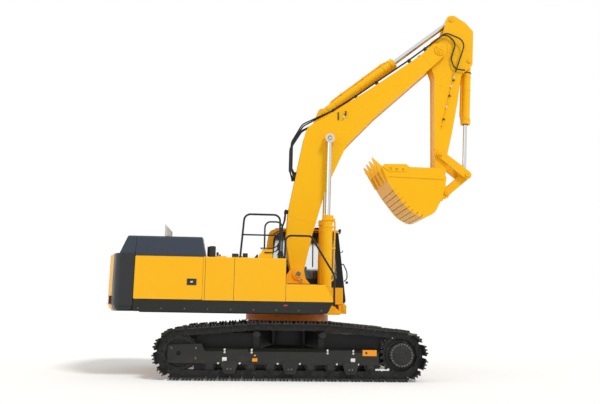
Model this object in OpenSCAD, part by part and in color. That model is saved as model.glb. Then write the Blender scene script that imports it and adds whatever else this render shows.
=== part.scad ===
// Crawler excavator: undercarriage, slewing upper structure, boom, arm and bucket.
// Millimetres. X points forward, Y to the machine's left, Z up.
// The origin is on the ground, under the slewing axis.

/* [Undercarriage] */
// Overall length of a track over its grousers
track_len = 5030; // [4700:10:5400]
// Distance between the two track centre planes
track_gauge = 2590; // [2390:10:2790]
// Width of a track shoe
shoe_w = 600; // [500:50:800]
// Radius of the chain's pitch line round the end wheels
pitch_r = 360; // [350:5:370]
// Number of shoes on one track
shoe_count = 48; // [44:1:52]
// Height of a grouser above its shoe plate
grouser_h = 35; // [20:1:45]
// Thickness of a shoe plate
shoe_t = 20; // [14:1:24]
// Forward shift of the track's middle from the slewing axis
track_shift = 20; // [-50:5:80]
// Height of the upper chain run's pitch line over the carrier rollers
carrier_line_z = 952; // [900:1:980]
// Distance between the two carrier rollers
carrier_span = 1224; // [900:2:1500]
// Number of track rollers on one side
roller_count = 9; // [7:1:9]
// Distance between neighbouring track rollers
roller_pitch = 368; // [330:1:372]
// Width of the track frame's box
frame_w = 360; // [330:5:380]
// Top of the track frame's box
frame_top_z = 560; // [540:5:600]
// Height of the seat of the slewing bearing on the car body
ring_seat_z = 1040; // [1020:5:1060]

/* [Slewing bearing] */
// Outer radius of the bearing's turning race
race_r = 850; // [800:5:900]
// Width of the bearing's turning race
race_w = 145; // [120:5:180]
// Underside of the revolving frame
deck_low_z = 1184; // [1170:2:1200]

/* [Upper structure] */
// Overall width of the upper structure
upper_w = 2940; // [2700:20:3100]
// Top of the deck, where the yellow panels start
deck_z = 1424; // [1400:2:1460]
// Top of the side panels
panel_z = 2224; // [2150:2:2300]
// Top of the engine hood
hood_z = 2600; // [2500:5:2700]
// Front face of the counterweight
cw_front_x = -2900; // [-2960:5:-2880]
// Rear face of the counterweight on the centre line
cw_rear_x = -3540; // [-3700:10:-3450]
// Front wall of the engine bay
bay_front_x = -1609; // [-1650:1:-1550]
// Seam between the hydraulic tank and the fuel tank
tank_seam_x = -1072; // [-1200:1:-900]
// Front face of the fuel tank
tank_front_x = -109; // [-160:1:-60]
// Thickness of doors and body walls
wall_t = 40; // [30:1:50]
// Gap between neighbouring panels
panel_gap = 8; // [6:1:12]
// Height of the tool box in front of the tank
toolbox_h = 320; // [260:5:380]
// Bottom edge of the dark side skirt
skirt_low_z = 1206; // [1190:2:1230]

/* [Cab] */
// Inner side wall of the cab, beside the boom
cab_in_y = 520; // [512:2:560]
// Outer side wall of the cab
cab_out_y = 1470; // [1440:5:1480]
// Top of the cab roof
cab_top_z = 3040; // [2950:10:3120]
// Thickness of the cab's panels and posts
cab_t = 50; // [40:1:60]

/* [Boom] */
// Height of the boom foot pin
boom_foot_z = 2000; // [1950:5:2050]
// Distance of the boom foot pin ahead of the slewing axis
boom_foot_x = 200; // [150:5:250]
// Reach of the arm pin ahead of the boom foot pin
boom_reach = 3096; // [3000:4:3200]
// Rise of the arm pin above the boom foot pin
boom_rise = 5038; // [4950:4:5130]
// Width of the boom over its side plates
boom_w = 540; // [500:10:560]
// Thickness of the side plates that stand proud of the top and belly plates
side_plate_t = 26; // [16:1:34]
// Outer diameter of a boom cylinder's barrel
boom_cyl_d = 208; // [180:2:216]
// Distance of a boom cylinder's axis from the centre plane
boom_cyl_y = 395; // [390:1:402]

/* [Arm] */
// Depth of the bucket pin below the arm pin
arm_drop = 2803; // [2740:1:2860]
// Width of the arm over its side plates
arm_w = 350; // [320:10:360]
// Outer diameter of the arm cylinder's barrel
arm_cyl_d = 224; // [200:2:240]
// Outer diameter of the bucket cylinder's barrel
bucket_cyl_d = 190; // [160:2:200]

/* [Bucket] */
// Width of the bucket over its side plates
bucket_w = 1160; // [1000:20:1300]
// Thickness of a bucket side plate
bucket_side_t = 30; // [22:1:40]
// Thickness of the bucket's curved shell
bucket_shell_t = 28; // [20:1:36]
// Number of teeth
tooth_count = 4; // [3:1:5]
// Width of a tooth at its socket
tooth_w = 105; // [90:5:130]
// Number of wear plates under the shell, with a groove between two of them
wear_count = 9; // [7:1:9]

/* [Hidden] */

// Colours
yellow = [0.96, 0.72, 0.18];
dark = [0.20, 0.21, 0.21];
slate = [0.25, 0.28, 0.33];
steel = [0.16, 0.16, 0.16];
chrome = [0.85, 0.86, 0.88];
rust = [0.45, 0.24, 0.08];
glassy = [0.35, 0.45, 0.48, 0.4];

// Clearances
seat_gap = 0.3;
turn_gap = 5;
pin_gap = 0.5;
race_gap = 2;
pass_gap = 10;

// Undercarriage, derived
link_in = 60;
link_out = 55;
plate_top = link_out + shoe_t;
grouser_top = plate_top + grouser_h;
end_r = pitch_r + grouser_top;
axle_z = end_r;
wheel_base = track_len - 2 * end_r;
idler_x = track_shift - wheel_base / 2;
sprocket_x = track_shift + wheel_base / 2;
track_y = track_gauge / 2;
carrier_x = [track_shift - 36 - carrier_span / 2, track_shift - 36 + carrier_span / 2];
strand_in = 45;
strand_out = 90;
rail_r = pitch_r - link_in;
roller_tread_r = 85;
roller_flange_r = 105;
roller_z = grouser_top + link_in + roller_tread_r + seat_gap;
carrier_r = 75;
carrier_z = carrier_line_z - link_in - carrier_r - seat_gap;
roller_x0 = track_shift - 12 - roller_pitch * (roller_count - 1) / 2;
bracket_in = 125;
frame_low_z = 372;
rail_skirt_z = 285;
inner_skirt_z = 150;
frame_rear_x = -1600;
frame_front_x = 1631;
yoke_rear_x = idler_x - 198;
axle_r = 45;

// Upper structure, derived
half_w = upper_w / 2;
skirt_front_x = 712;
boom_foot = [boom_foot_x, boom_foot_z];
cab_front_x = 1130;
cab_nose_x = 1310;
cab_rear_x = -455;
cab_floor_z = deck_z + 20;

// Pin centres in the boom's, arm's and bucket's rest positions, as [x, z]
drawn_reach = 3096;
drawn_rise = 5038;
// Point on the boom, from its place beside the foot pin at the drawn reach and rise
function on_boom(x, z) = boom_foot + [x * boom_reach / drawn_reach, z * boom_rise / drawn_rise];
function boom_rows(rows) = [for (r = rows) concat(on_boom(r[0], r[1]), r[2])];
// Rows of [x, z, corner radius] round a pin
function rows_at(p, rows) = [for (r = rows) [p[0] + r[0], p[1] + r[1], r[2]]];
arm_pin = boom_foot + [boom_reach, boom_rise];
boom_cyl_top = on_boom(618, 2868);
boom_cyl_foot = boom_foot + [564, -440];
arm_cyl_base = on_boom(522, 3519);
arm_cyl_eye = arm_pin + [294, 777];
bucket_cyl_base = arm_pin + [681, -193];
bucket_pin = arm_pin + [-46, -arm_drop];
bucket_cyl_eye = bucket_pin + [590, -22];
guide_pin = bucket_pin + [12, 425];
link_pin = bucket_pin + [115, -435];
foot_pin_r = 60;
arm_pin_r = 55;
link_pin_r = 45;
base_pin_r = 45;

// Plane geometry

function unit2(v) = v / norm(v);
function along(p, q, d) = p + unit2(q - p) * d;
function polar(c, r, a) = c + r * [cos(a), sin(a)];
function arc(c, r, a0, a1, n) = [for (i = [0:n]) polar(c, r, a0 + (a1 - a0) * i / n)];

// One corner q of an outline, rounded with radius r, coming from p and leaving to s
function corner(p, q, s, r) =
  let (
    u = unit2(p - q),
    v = unit2(s - q),
    half = acos(max(-1, min(1, u * v))) / 2,
    c = q + unit2(u + v) * r / sin(half),
    t = r / tan(half),
    a = q + u * t,
    b = q + v * t,
    a0 = atan2(a[1] - c[1], a[0] - c[0]),
    raw = atan2(b[1] - c[1], b[0] - c[0]) - a0,
    sweep = raw > 180 ? raw - 360 : raw < -180 ? raw + 360 : raw,
    n = max(2, ceil(abs(sweep) / 15))
  )
  [for (i = [0:n]) polar(c, r, a0 + sweep * i / n)];

// Outline from rows of [x, z, corner radius]
function outline(rows) =
  let (n = len(rows))
  [for (i = [0:n - 1])
    let (
      p = [rows[(i + n - 1) % n][0], rows[(i + n - 1) % n][1]],
      q = [rows[i][0], rows[i][1]],
      s = [rows[(i + 1) % n][0], rows[(i + 1) % n][1]]
    )
    for (k = rows[i][2] == 0 ? [q] : corner(p, q, s, rows[i][2])) k];

// Outline of a bar with round ends of two radii
function strap(p, rp, q, rq) =
  let (d = q - p, a = atan2(d[1], d[0]), b = acos((rp - rq) / norm(d)))
  concat(arc(q, rq, a - b, a + b, 12), arc(p, rp, a + b, a + 360 - b, 12));

// Placing outlines in space

// A side outline in [x, z] that fills y_low to y_high
module slab(y_low, y_high)
  translate([0, y_high, 0]) rotate([90, 0, 0]) linear_extrude(y_high - y_low) children();

// A plan outline in [x, y] that fills z_low to z_high
module plan(z_low, z_high)
  translate([0, 0, z_low]) linear_extrude(z_high - z_low) children();

// A cross section in [y, z] that fills x_low to x_high
module across(x_low, x_high)
  translate([x_low, 0, 0]) rotate([90, 0, 90]) linear_extrude(x_high - x_low) children();

// A box between two corners
module block(a, b)
  translate(a) cube(b - a);

// A round bar along Y at a side position [x, z]
module bar_y(p, r, y_low, y_high)
  translate([p[0], y_high, p[1]]) rotate([90, 0, 0]) cylinder(r = r, h = y_high - y_low, $fn = 64);

// A solid turned about the Y axis at [x, z], from rows of [radius, y]
module turned(p, rows)
  translate([p[0], 0, p[1]]) rotate([-90, 0, 0]) rotate_extrude($fn = 96) polygon(rows);

// The same piece on both sides of the centre plane
module both_sides() {
  children();
  mirror([0, 1, 0]) children();
}

// A bent tube in a plane of constant y, swept along rounded corners, rows of [x, z, bend radius]
function bent(rows) =
  let (n = len(rows))
  [for (i = [0:n - 1])
    let (q = [rows[i][0], rows[i][1]])
    for (k = rows[i][2] == 0 ? [q] :
      corner([rows[i - 1][0], rows[i - 1][1]], q, [rows[i + 1][0], rows[i + 1][1]], rows[i][2])) k];
tube_sides = 10;
module tube(rows, y, r) {
  p = bent(rows);
  n = len(p);
  rings = [for (i = [0:n - 1])
    let (
      a = unit2(p[max(i, 1)] - p[max(i, 1) - 1]),
      b = unit2(p[min(i, n - 2) + 1] - p[min(i, n - 2)]),
      d = unit2(a + b),
      w = r / (a * d)
    )
    for (k = [0:tube_sides - 1])
      let (t = 360 * k / tube_sides)
      [p[i][0] - d[1] * w * cos(t), y + r * sin(t), p[i][1] + d[0] * w * cos(t)]];
  polyhedron(rings, concat(
    [[for (k = [0:tube_sides - 1]) tube_sides - 1 - k]],
    [for (i = [0:n - 2], k = [0:tube_sides - 1])
      let (e = (k + 1) % tube_sides, j = i * tube_sides)
      [j + k, j + e, j + tube_sides + e, j + tube_sides + k]],
    [[for (k = [0:tube_sides - 1]) (n - 1) * tube_sides + k]]));
}

// Point at a distance along an open line of points, with the line's direction there
function walk(p, s, i = 0) =
  let (d = norm(p[i + 1] - p[i]))
  s <= d || i == len(p) - 2 ? [along(p[i], p[i + 1], s), unit2(p[i + 1] - p[i])] : walk(p, s - d, i + 1);

// A side position moved to the frame of a bar that runs from p to q: x along the bar
module from_to(p, q)
  translate([p[0], 0, p[1]]) rotate([0, -atan2(q[1] - p[1], q[0] - p[0]), 0]) children();

// Track

// Angles at which the chain leaves the sprocket and meets the idler on its upper run
function leave_angle(c, q) =
  let (d = q - c) atan2(d[1], d[0]) + (d[0] < 0 ? -1 : 1) * acos(pitch_r / norm(d));
sprocket_c = [sprocket_x, axle_z];
idler_c = [idler_x, axle_z];
carrier_a = [carrier_x[1], carrier_line_z];
carrier_b = [carrier_x[0], carrier_line_z];
sprocket_top_a = leave_angle(sprocket_c, carrier_a);
idler_top_a = leave_angle(idler_c, carrier_b);
// Lengths of the loop's six stretches: bottom run, sprocket, slope, carriers, slope, idler
loop_parts = [
  wheel_base,
  pitch_r * (sprocket_top_a + 90) * PI / 180,
  sqrt(pow(norm(carrier_a - sprocket_c), 2) - pow(pitch_r, 2)),
  norm(carrier_a - carrier_b),
  sqrt(pow(norm(carrier_b - idler_c), 2) - pow(pitch_r, 2)),
  pitch_r * (270 - idler_top_a) * PI / 180];
function sum_to(i) = i == 0 ? 0 : loop_parts[i - 1] + sum_to(i - 1);
loop_len = sum_to(6);
shoe_pitch = loop_len / shoe_count;

// Point and outward angle of the pitch line at a distance along the loop
function pitch_at(s) =
  s < sum_to(1) ? [[idler_x + s, axle_z - pitch_r], -90] :
  s < sum_to(2) ? let (a = -90 + (s - sum_to(1)) / pitch_r * 180 / PI) [polar(sprocket_c, pitch_r, a), a] :
  s < sum_to(3) ? [along(polar(sprocket_c, pitch_r, sprocket_top_a), carrier_a, s - sum_to(2)), sprocket_top_a] :
  s < sum_to(4) ? [along(carrier_a, carrier_b, s - sum_to(3)), 90] :
  s < sum_to(5) ? [along(carrier_b, polar(idler_c, pitch_r, idler_top_a), s - sum_to(4)), idler_top_a] :
  let (a = idler_top_a + (s - sum_to(5)) / pitch_r * 180 / PI) [polar(idler_c, pitch_r, a), a];

// Outline of one shoe seen from the side: three grousers, as [share of the pitch, height]
grouser_base = 0.085;
grouser_crest = 0.045;
shoe_side = [for (k = [-1:1], e = [
  [-grouser_base, plate_top], [-grouser_crest, grouser_top],
  [grouser_crest, grouser_top], [grouser_base, plate_top]]) [k / 3 + e[0], e[1]]];
shoes_outline = [for (i = [0:shoe_count - 1], e = shoe_side)
  let (at = pitch_at((i + 0.5) * shoe_pitch), n = polar([0, 0], 1, at[1]))
  at[0] + n * e[1] + [-n[1], n[0]] * e[0] * shoe_pitch];

// Smooth loop at a height outside the pitch line, its facets tangent to the true one
loop_steps = 10;
function wheel_loop(c, r, a0, a1) =
  let (step = (a1 - a0) / loop_steps)
  [for (k = [0:loop_steps - 1]) polar(c, r / cos(step / 2), a0 + step * (k + 0.5))];
function smooth_loop(h) = concat(
  wheel_loop(sprocket_c, pitch_r + h, -90, sprocket_top_a),
  [carrier_a + [0, h], carrier_b + [0, h]],
  wheel_loop(idler_c, pitch_r + h, idler_top_a, 270));

module track(side) {
  y = side * track_y;
  color(steel) {
    slab(y - shoe_w / 2, y + shoe_w / 2) difference() {
      polygon(shoes_outline);
      polygon(smooth_loop(link_out));
    }
    for (s = [-1, 1])
      slab(y + s * (strand_in + strand_out) / 2 - (strand_out - strand_in) / 2,
           y + s * (strand_in + strand_out) / 2 + (strand_out - strand_in) / 2) difference() {
        polygon(smooth_loop(link_out + 2));
        polygon(smooth_loop(-link_in));
      }
  }
}

module track_right() track(-1);
module track_left() track(1);

// Track rollers and carrier rollers, with their shafts up to the brackets
module track_roller(x, y) {
  e = bracket_in - seat_gap;
  translate([0, y, 0]) turned([x, roller_z], [
    [0, -e], [axle_r, -e], [axle_r, -strand_out - 22], [roller_flange_r, -strand_out - 18],
    [roller_flange_r, -strand_out - 2], [roller_tread_r, -strand_out - 1], [roller_tread_r, -strand_in + 6],
    [roller_tread_r - 22, -strand_in + 14], [roller_tread_r - 22, strand_in - 14],
    [roller_tread_r, strand_in - 6], [roller_tread_r, strand_out + 1],
    [roller_flange_r, strand_out + 2], [roller_flange_r, strand_out + 18],
    [axle_r, strand_out + 22], [axle_r, e], [0, e]]);
}

module carrier_roller(x, side) {
  translate([0, side * track_y, 0]) turned([x, carrier_z], [for (p = [
    [0, -bracket_in + seat_gap], [axle_r, -bracket_in + seat_gap], [axle_r, -strand_out - 10],
    [carrier_r, -strand_out - 6], [carrier_r, strand_out + 6], [carrier_r - 12, strand_out + 16],
    [0, strand_out + 16]]) [p[0], p[1] * side]]);
}

module rollers(side)
  color(steel) {
    for (i = [0:roller_count - 1]) track_roller(roller_x0 + i * roller_pitch, side * track_y);
    for (x = carrier_x) carrier_roller(x, side);
  }

module rollers_right() rollers(-1);
module rollers_left() rollers(1);

// Front idler wheel
module idler(side) {
  e = bracket_in - seat_gap;
  tread = rail_r - seat_gap;
  color(steel) translate([0, side * track_y, 0]) turned(idler_c, [
    [0, -e], [70, -e], [70, -strand_out - 2], [150, -strand_out + 4], [150, -40], [tread - 50, -40],
    [tread - 45, -strand_out + 6], [tread, -strand_out + 4], [tread, -strand_in + 5], [tread + 32, -strand_in + 9],
    [tread + 32, strand_in - 9], [tread, strand_in - 5], [tread, strand_out - 4],
    [tread - 45, strand_out - 6], [tread - 50, 40], [150, 40], [150, strand_out - 4],
    [70, strand_out + 2], [70, e], [0, e]]);
}

module idler_right() idler(-1);
module idler_left() idler(1);

// Drive sprocket with its final drive housing
sprocket_teeth = 21;
tooth_root_r = pitch_r - 34;
tooth_tip_r = pitch_r + 24;
module sprocket(side) {
  y = side * track_y;
  step = 360 / sprocket_teeth;
  color(steel) {
    slab(y - 32, y + 32) polygon([for (i = [0:sprocket_teeth - 1], e = [
      [-0.30, tooth_root_r], [-0.14, tooth_tip_r], [0.14, tooth_tip_r], [0.30, tooth_root_r]])
      polar(sprocket_c, e[1], (i + e[0]) * step)]);
    translate([0, y, 0]) turned(sprocket_c, [for (p = [
      [0, -150], [215, -150], [240, -120], [240, -50], [rail_r - 15, -40], [rail_r - 15, 50],
      [rail_r - 26, 62], [238, 70], [234, 172], [214, 190], [0, 196]]) [p[0], p[1] * side]]);
  }
}

module sprocket_right() sprocket(-1);
module sprocket_left() sprocket(1);

// Track frame: box beam with a roof-shaped top, roller brackets, idler yoke and drive seat
module track_frame(side) {
  y = side * track_y;
  w = frame_w / 2;
  // The inner skirt reaches lower, as a guard for the rollers
  low_a = side > 0 ? inner_skirt_z : rail_skirt_z;
  low_b = side > 0 ? rail_skirt_z : inner_skirt_z;
  color(dark) {
    difference() {
      translate([0, y, 0]) union() {
        across(frame_rear_x, frame_front_x) polygon([
          [-w, low_a], [-w + 22, low_a], [-w + 22, frame_low_z], [w - 22, frame_low_z],
          [w - 22, low_b], [w, low_b], [w, frame_top_z - 50], [w - 90, frame_top_z],
          [-w + 90, frame_top_z], [-w, frame_top_z - 50]]);
        // Yoke plates either side of the idler
        for (s = [-1, 1]) slab(s * (w + bracket_in) / 2 - (w - bracket_in) / 2,
                               s * (w + bracket_in) / 2 + (w - bracket_in) / 2)
          polygon(outline([
            [frame_rear_x + 40, 300, 0], [frame_rear_x + 40, frame_top_z - 50, 0], [frame_rear_x - 20, 640, 20],
            [yoke_rear_x, 615, 30], [yoke_rear_x, 300, 30]]));
        // Drive seat behind the final drive housing
        slab(side < 0 ? bracket_in + 25 + seat_gap : -w, side < 0 ? w : -bracket_in - 25 - seat_gap)
          polygon(outline([
            [frame_front_x - 60, 330, 0], [sprocket_x, axle_z - 215, 150], [sprocket_x + 215, axle_z - 100, 90],
            [sprocket_x + 215, axle_z + 100, 90], [sprocket_x, axle_z + 215, 150],
            [frame_front_x - 60, frame_top_z - 50, 0]]));
        // Roller brackets
        for (i = [0:roller_count - 1], s = [-1, 1])
          block([roller_x0 + i * roller_pitch - 60, s < 0 ? -w + 22 : bracket_in, 200],
                [roller_x0 + i * roller_pitch + 60, s < 0 ? -bracket_in : w - 22, frame_low_z]);
        // Carrier roller pedestals on the inner side
        for (x = carrier_x)
          block([x - 55, side < 0 ? bracket_in : -w, frame_top_z - 60],
                [x + 55, side < 0 ? w : -bracket_in, carrier_z + 55]);
        // Track guards under the frame
        for (i = [1, 4, 7], s = [-1, 1])
          slab(s * (w + 9) - 9, s * (w + 9) + 9) polygon([
            [roller_x0 + i * roller_pitch - 130, rail_skirt_z + 60], [roller_x0 + i * roller_pitch - 130, rail_skirt_z - 30],
            [roller_x0 + i * roller_pitch - 80, 130], [roller_x0 + i * roller_pitch + 80, 130],
            [roller_x0 + i * roller_pitch + 130, rail_skirt_z - 30], [roller_x0 + i * roller_pitch + 130, rail_skirt_z + 60]]);
      }
      // Hole in the yoke's side plates
      bar_y([idler_x, axle_z], 40, y - w - 1, y + w + 1);
    }
  }
}

module track_frame_right() track_frame(-1);
module track_frame_left() track_frame(1);

// Car body: bearing seat and four legs to the track frames
module car_body() {
  reach = track_y - frame_w / 2;
  color(dark) {
    difference() {
      union() {
        plan(600, ring_seat_z - 60) circle(r = race_r - 80, $fn = 96);
        plan(ring_seat_z - 60, ring_seat_z) circle(r = race_r - 20, $fn = 96);
        intersection() {
          plan(500, ring_seat_z - 80) union() {
            for (sx = [-1, 1], sy = [-1, 1]) scale([sx, sy]) polygon([
              [0, 0], [820, 0], [980, 560], [1740, reach], [560, reach], [320, 720], [0, 720]]);
          }
          across(-1760, 1760) polygon([
            [-reach, 540], [-reach, 830], [-620, ring_seat_z - 80], [620, ring_seat_z - 80],
            [reach, 830], [reach, 540], [600, 620], [-600, 620]]);
        }
      }
      plan(560, ring_seat_z + 1) circle(r = 420, $fn = 64);
    }
  }
}

// Slewing bearing: the race that stays with the car body
module slew_ring()
  color(rust) difference() {
    plan(ring_seat_z, deck_low_z - seat_gap) circle(r = race_r - race_w - race_gap, $fn = 96);
    plan(ring_seat_z - 1, deck_low_z) circle(r = race_r - race_w - 120, $fn = 96);
  }

// Revolving frame: deck, race, girders with the boom foot lugs, cab deck
girder_in = boom_w / 2 + turn_gap;
girder_out = girder_in + 46;
cyl_eye_half = 50;
lug_gap = 1;
lug_t = 34;
lug_out_y = boom_cyl_y + cyl_eye_half + lug_gap + lug_t;
nose_x = boom_cyl_foot[0] + 190;
nose_z = boom_cyl_foot[1] - 220;
lug_r = 97;
cab_deck_y = cab_in_y - 12;
tail_x = cw_front_x - panel_gap;
skirt_in_y = half_w - 40;
module upper_frame() {
  front = cab_nose_x - 20;
  girder = outline([
    [tail_x, deck_low_z, 0], [nose_x + 130, deck_low_z, 0], [nose_x + 130, deck_low_z + 60, 30],
    [nose_x, nose_z, 0], [boom_cyl_foot[0], deck_z, 60],
    [boom_foot[0] + 150, boom_foot[1] - 90, 90], [boom_foot[0] + 110, boom_foot[1] + 130, 110],
    [boom_foot[0] - 130, boom_foot[1] + 130, 110], [boom_foot[0] - 520, deck_z + 160, 300],
    [bay_front_x + 200, deck_z - 24, 200], [tail_x, deck_z - 24, 0]]);
  color(yellow) difference() {
    union() {
      // Race under the deck
      difference() {
        plan(ring_seat_z + 20, deck_low_z) circle(r = race_r, $fn = 96);
        plan(ring_seat_z, deck_low_z + 1) circle(r = race_r - race_w, $fn = 96);
      }
      // Floor plate and deck plates
      plan(deck_low_z, deck_low_z + 30) polygon([
        [tail_x, -700], [tail_x, 700], [-900, 1000], [nose_x + 60, 700], [nose_x + 130, girder_out],
        [nose_x + 130, -girder_out], [nose_x + 60, -560], [-900, -1000]]);
      plan(deck_z - 24, deck_z) polygon([
        [cw_front_x + 5, -skirt_in_y], [skirt_front_x - 42, -skirt_in_y], [skirt_front_x - 42, -girder_in],
        [-1450, -girder_in], [-1450, girder_in], [skirt_front_x - 42, girder_in], [skirt_front_x - 42, cab_deck_y],
        [front, cab_deck_y], [front, cab_out_y - 42], [cw_front_x + 5, cab_out_y - 42]]);
      // Cross members from the girders to the skirts
      for (x = [cw_front_x + 60, bay_front_x, tank_seam_x + 400, tank_front_x, 620])
        both_sides() block([x, girder_out - 10, deck_low_z + 60], [x + 30, skirt_in_y, deck_z - 23]);
      block([front - 60, cab_deck_y, skirt_low_z + 60], [front - 20, skirt_in_y, deck_z - 23]);
      both_sides() slab(girder_in, girder_out) polygon(girder);
      // Nose box that ties the girders and carries the cylinder lugs
      slab(-lug_out_y, lug_out_y) polygon([
        [boom_cyl_foot[0] - 130, deck_low_z + 29], [nose_x, deck_low_z + 29], [nose_x, nose_z],
        [boom_cyl_foot[0] + 60, deck_z - 30], [boom_cyl_foot[0] - 130, deck_z - 30]]);
      both_sides() for (y = [boom_cyl_y - cyl_eye_half - lug_gap - lug_t, boom_cyl_y + cyl_eye_half + lug_gap])
        slab(y, y + lug_t) polygon(concat(
          [[boom_cyl_foot[0] - 120, deck_z - 40], [boom_cyl_foot[0] + 60, deck_z - 40],
            [boom_cyl_foot[0] + 52, boom_cyl_foot[1] - 122]],
          arc(boom_cyl_foot, lug_r, -24, 180, 14)));
      // Boom foot pin with its bosses, and the cylinder foot pins
      both_sides() bar_y(boom_foot, 120, girder_out - 1, girder_out + 26);
      bar_y(boom_foot, foot_pin_r, -girder_out - 40, girder_out + 40);
      both_sides() bar_y(boom_cyl_foot, base_pin_r, boom_cyl_y - cyl_eye_half - lug_gap - lug_t + 1, lug_out_y - 1);
      // Cab side beam
      slab(cab_out_y - 42, cab_out_y) polygon(outline([
        [cw_front_x + 5, skirt_low_z, 0], [front - 260, skirt_low_z, 0], [front, skirt_low_z + 90, 60],
        [front, deck_z, 30], [cw_front_x + 5, deck_z, 0]]));
    }
    plan(deck_low_z - 1, deck_low_z + 31) circle(r = 380, $fn = 64);
  }
}

// Counterweight with a bowed rear face
cw_low_z = skirt_low_z;
cw_top_z = panel_z + 36;
cw_corner_x = -3240;
lift_x = cw_rear_x + 150;
lift_y = 560;
lift_r = 42;
module cw_plan(inset) {
  offset(delta = -inset) polygon(concat(
    [[cw_front_x - panel_gap, -half_w], [cw_front_x - panel_gap, half_w]],
    [for (p = outline([
      [cw_front_x, half_w, 0], [cw_corner_x, half_w, 160], [cw_rear_x, 640, 700], [cw_rear_x, -640, 700],
      [cw_corner_x, -half_w, 160], [cw_front_x, -half_w, 0]])) if (p[0] < cw_front_x - panel_gap - 1) p]));
}
module counterweight()
  color(dark) difference() {
    union() {
      plan(cw_low_z, cw_low_z + 40) cw_plan(60);
      plan(cw_low_z + 40, cw_low_z + 100) cw_plan(24);
      plan(cw_low_z + 100, cw_top_z) cw_plan(0);
    }
    // Lifting holes, right through
    both_sides() translate([lift_x, lift_y, cw_low_z - 1]) cylinder(r = lift_r, h = cw_top_z - cw_low_z + 2, $fn = 48);
  }

// Engine and pump, one block across the deck
engine_top_z = hood_z - 360;
module engine_block()
  color(steel) block([cw_front_x + 260, -900, deck_z], [hood_front_x - 60, 700, engine_top_z]);

// Engine bay: front wall, rear posts and top rails round the service doors
post_out_y = half_w - wall_t - seat_gap;
module bay_walls()
  color(yellow) {
    block([bay_front_x - wall_t, -half_w, deck_z], [bay_front_x - panel_gap / 2, half_w, panel_z]);
    both_sides() {
      block([cw_front_x, post_out_y - 60, deck_z], [cw_front_x + 60, post_out_y, panel_z]);
      block([cw_front_x + 59, post_out_y - 60, panel_z - 50], [bay_front_x - wall_t + 1, post_out_y, panel_z]);
    }
  }

// Service doors that close the engine bay
door_rear_x = cw_front_x + 4;
door_front_x = bay_front_x - wall_t - turn_gap;
module service_door(side)
  color(yellow) {
    slab(side < 0 ? -half_w : half_w - wall_t, side < 0 ? -half_w + wall_t : half_w)
      polygon(outline([
        [door_rear_x, deck_z + panel_gap, 20], [door_front_x, deck_z + panel_gap, 20],
        [door_front_x, panel_z - panel_gap, 20], [door_rear_x, panel_z - panel_gap, 20]]));
  }

module service_door_right() service_door(-1);
module service_door_left() service_door(1);

// Tanks behind the right front box: hydraulic oil at the rear, fuel in front
tank_in_y = -girder_out - 40;
panel_roll = 30;
module tank_body()
  color(yellow) {
    for (x = [[bay_front_x, tank_seam_x], [tank_seam_x, tank_front_x]])
      across(x[0] + panel_gap / 2, x[1] - panel_gap / 2) polygon(outline([
        [-half_w, deck_z, 0], [tank_in_y, deck_z, 0], [tank_in_y, panel_z, 0], [-half_w, panel_z, panel_roll]]));
    block([tank_seam_x - panel_gap, -half_w + 30, deck_z], [tank_seam_x + panel_gap, tank_in_y - 30, panel_z - 30]);
    // Filler neck and cap on the fuel tank
    translate([tank_front_x - 330, -half_w + 320, panel_z - 1]) cylinder(r = 70, h = 41, $fn = 48);
    translate([tank_front_x - 330, -half_w + 320, panel_z + 39]) cylinder(r = 85, h = 35, $fn = 48);
    translate([bay_front_x + 260, -half_w + 420, panel_z - 1]) cylinder(r = 120, h = 31, $fn = 48);
  }

// Housing behind the cab on the left side
module left_housing()
  color(yellow) {
    across(bay_front_x + panel_gap / 2, cab_rear_x - 60) polygon(outline([
      [girder_out + 60, deck_z, 0], [half_w, deck_z, 0], [half_w, panel_z, panel_roll], [girder_out + 60, panel_z, 0]]));
  }

// Dark side skirts below the panels
module side_skirts()
  color(dark) {
    slab(-half_w, -half_w + 40) polygon(outline([
      [cw_front_x + panel_gap, skirt_low_z, 0], [skirt_front_x - 40, skirt_low_z, 60], [skirt_front_x + 70, deck_z - 1, 0],
      [cw_front_x + panel_gap, deck_z - 1, 0]]));
    across(skirt_front_x - 42, skirt_front_x - 2) polygon([
      [-half_w + 39, skirt_low_z + 60], [-half_w + 39, deck_z - 1], [-lug_out_y - panel_gap, deck_z - 1],
      [-lug_out_y - panel_gap, skirt_low_z + 60]]);
  }

// Tool box in front of the fuel tank, with a hinged lid
toolbox_top_z = deck_z + toolbox_h;
toolbox_in_y = -900;
toolbox_rear_x = tank_front_x + panel_gap / 2;
module toolbox() {
  shape = outline([
    [toolbox_rear_x, deck_z, 0], [skirt_front_x + 70, deck_z, 20], [skirt_front_x + 58, deck_z + 60, 20],
    [skirt_front_x - 80, toolbox_top_z, 40], [toolbox_rear_x, toolbox_top_z, 0]]);
  color(yellow) difference() {
    slab(-half_w, toolbox_in_y) polygon(shape);
    slab(-half_w + 12, toolbox_in_y - 12) offset(delta = -12) polygon(shape);
    block([toolbox_rear_x + 60, -half_w + 50, toolbox_top_z - 20],
          [skirt_front_x - 160, toolbox_in_y - 50, toolbox_top_z + 20]);
  }
}

lid_t = 14;
module toolbox_lid()
  color(dark) {
    block([toolbox_rear_x + 30, -half_w + 20, toolbox_top_z + seat_gap],
          [skirt_front_x - 130, toolbox_in_y - 20, toolbox_top_z + seat_gap + lid_t]);
  }

// Hood over the bay: a fixed cover at the rear and right, and a hinged engine hood
hood_half = half_w - 20;
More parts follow.
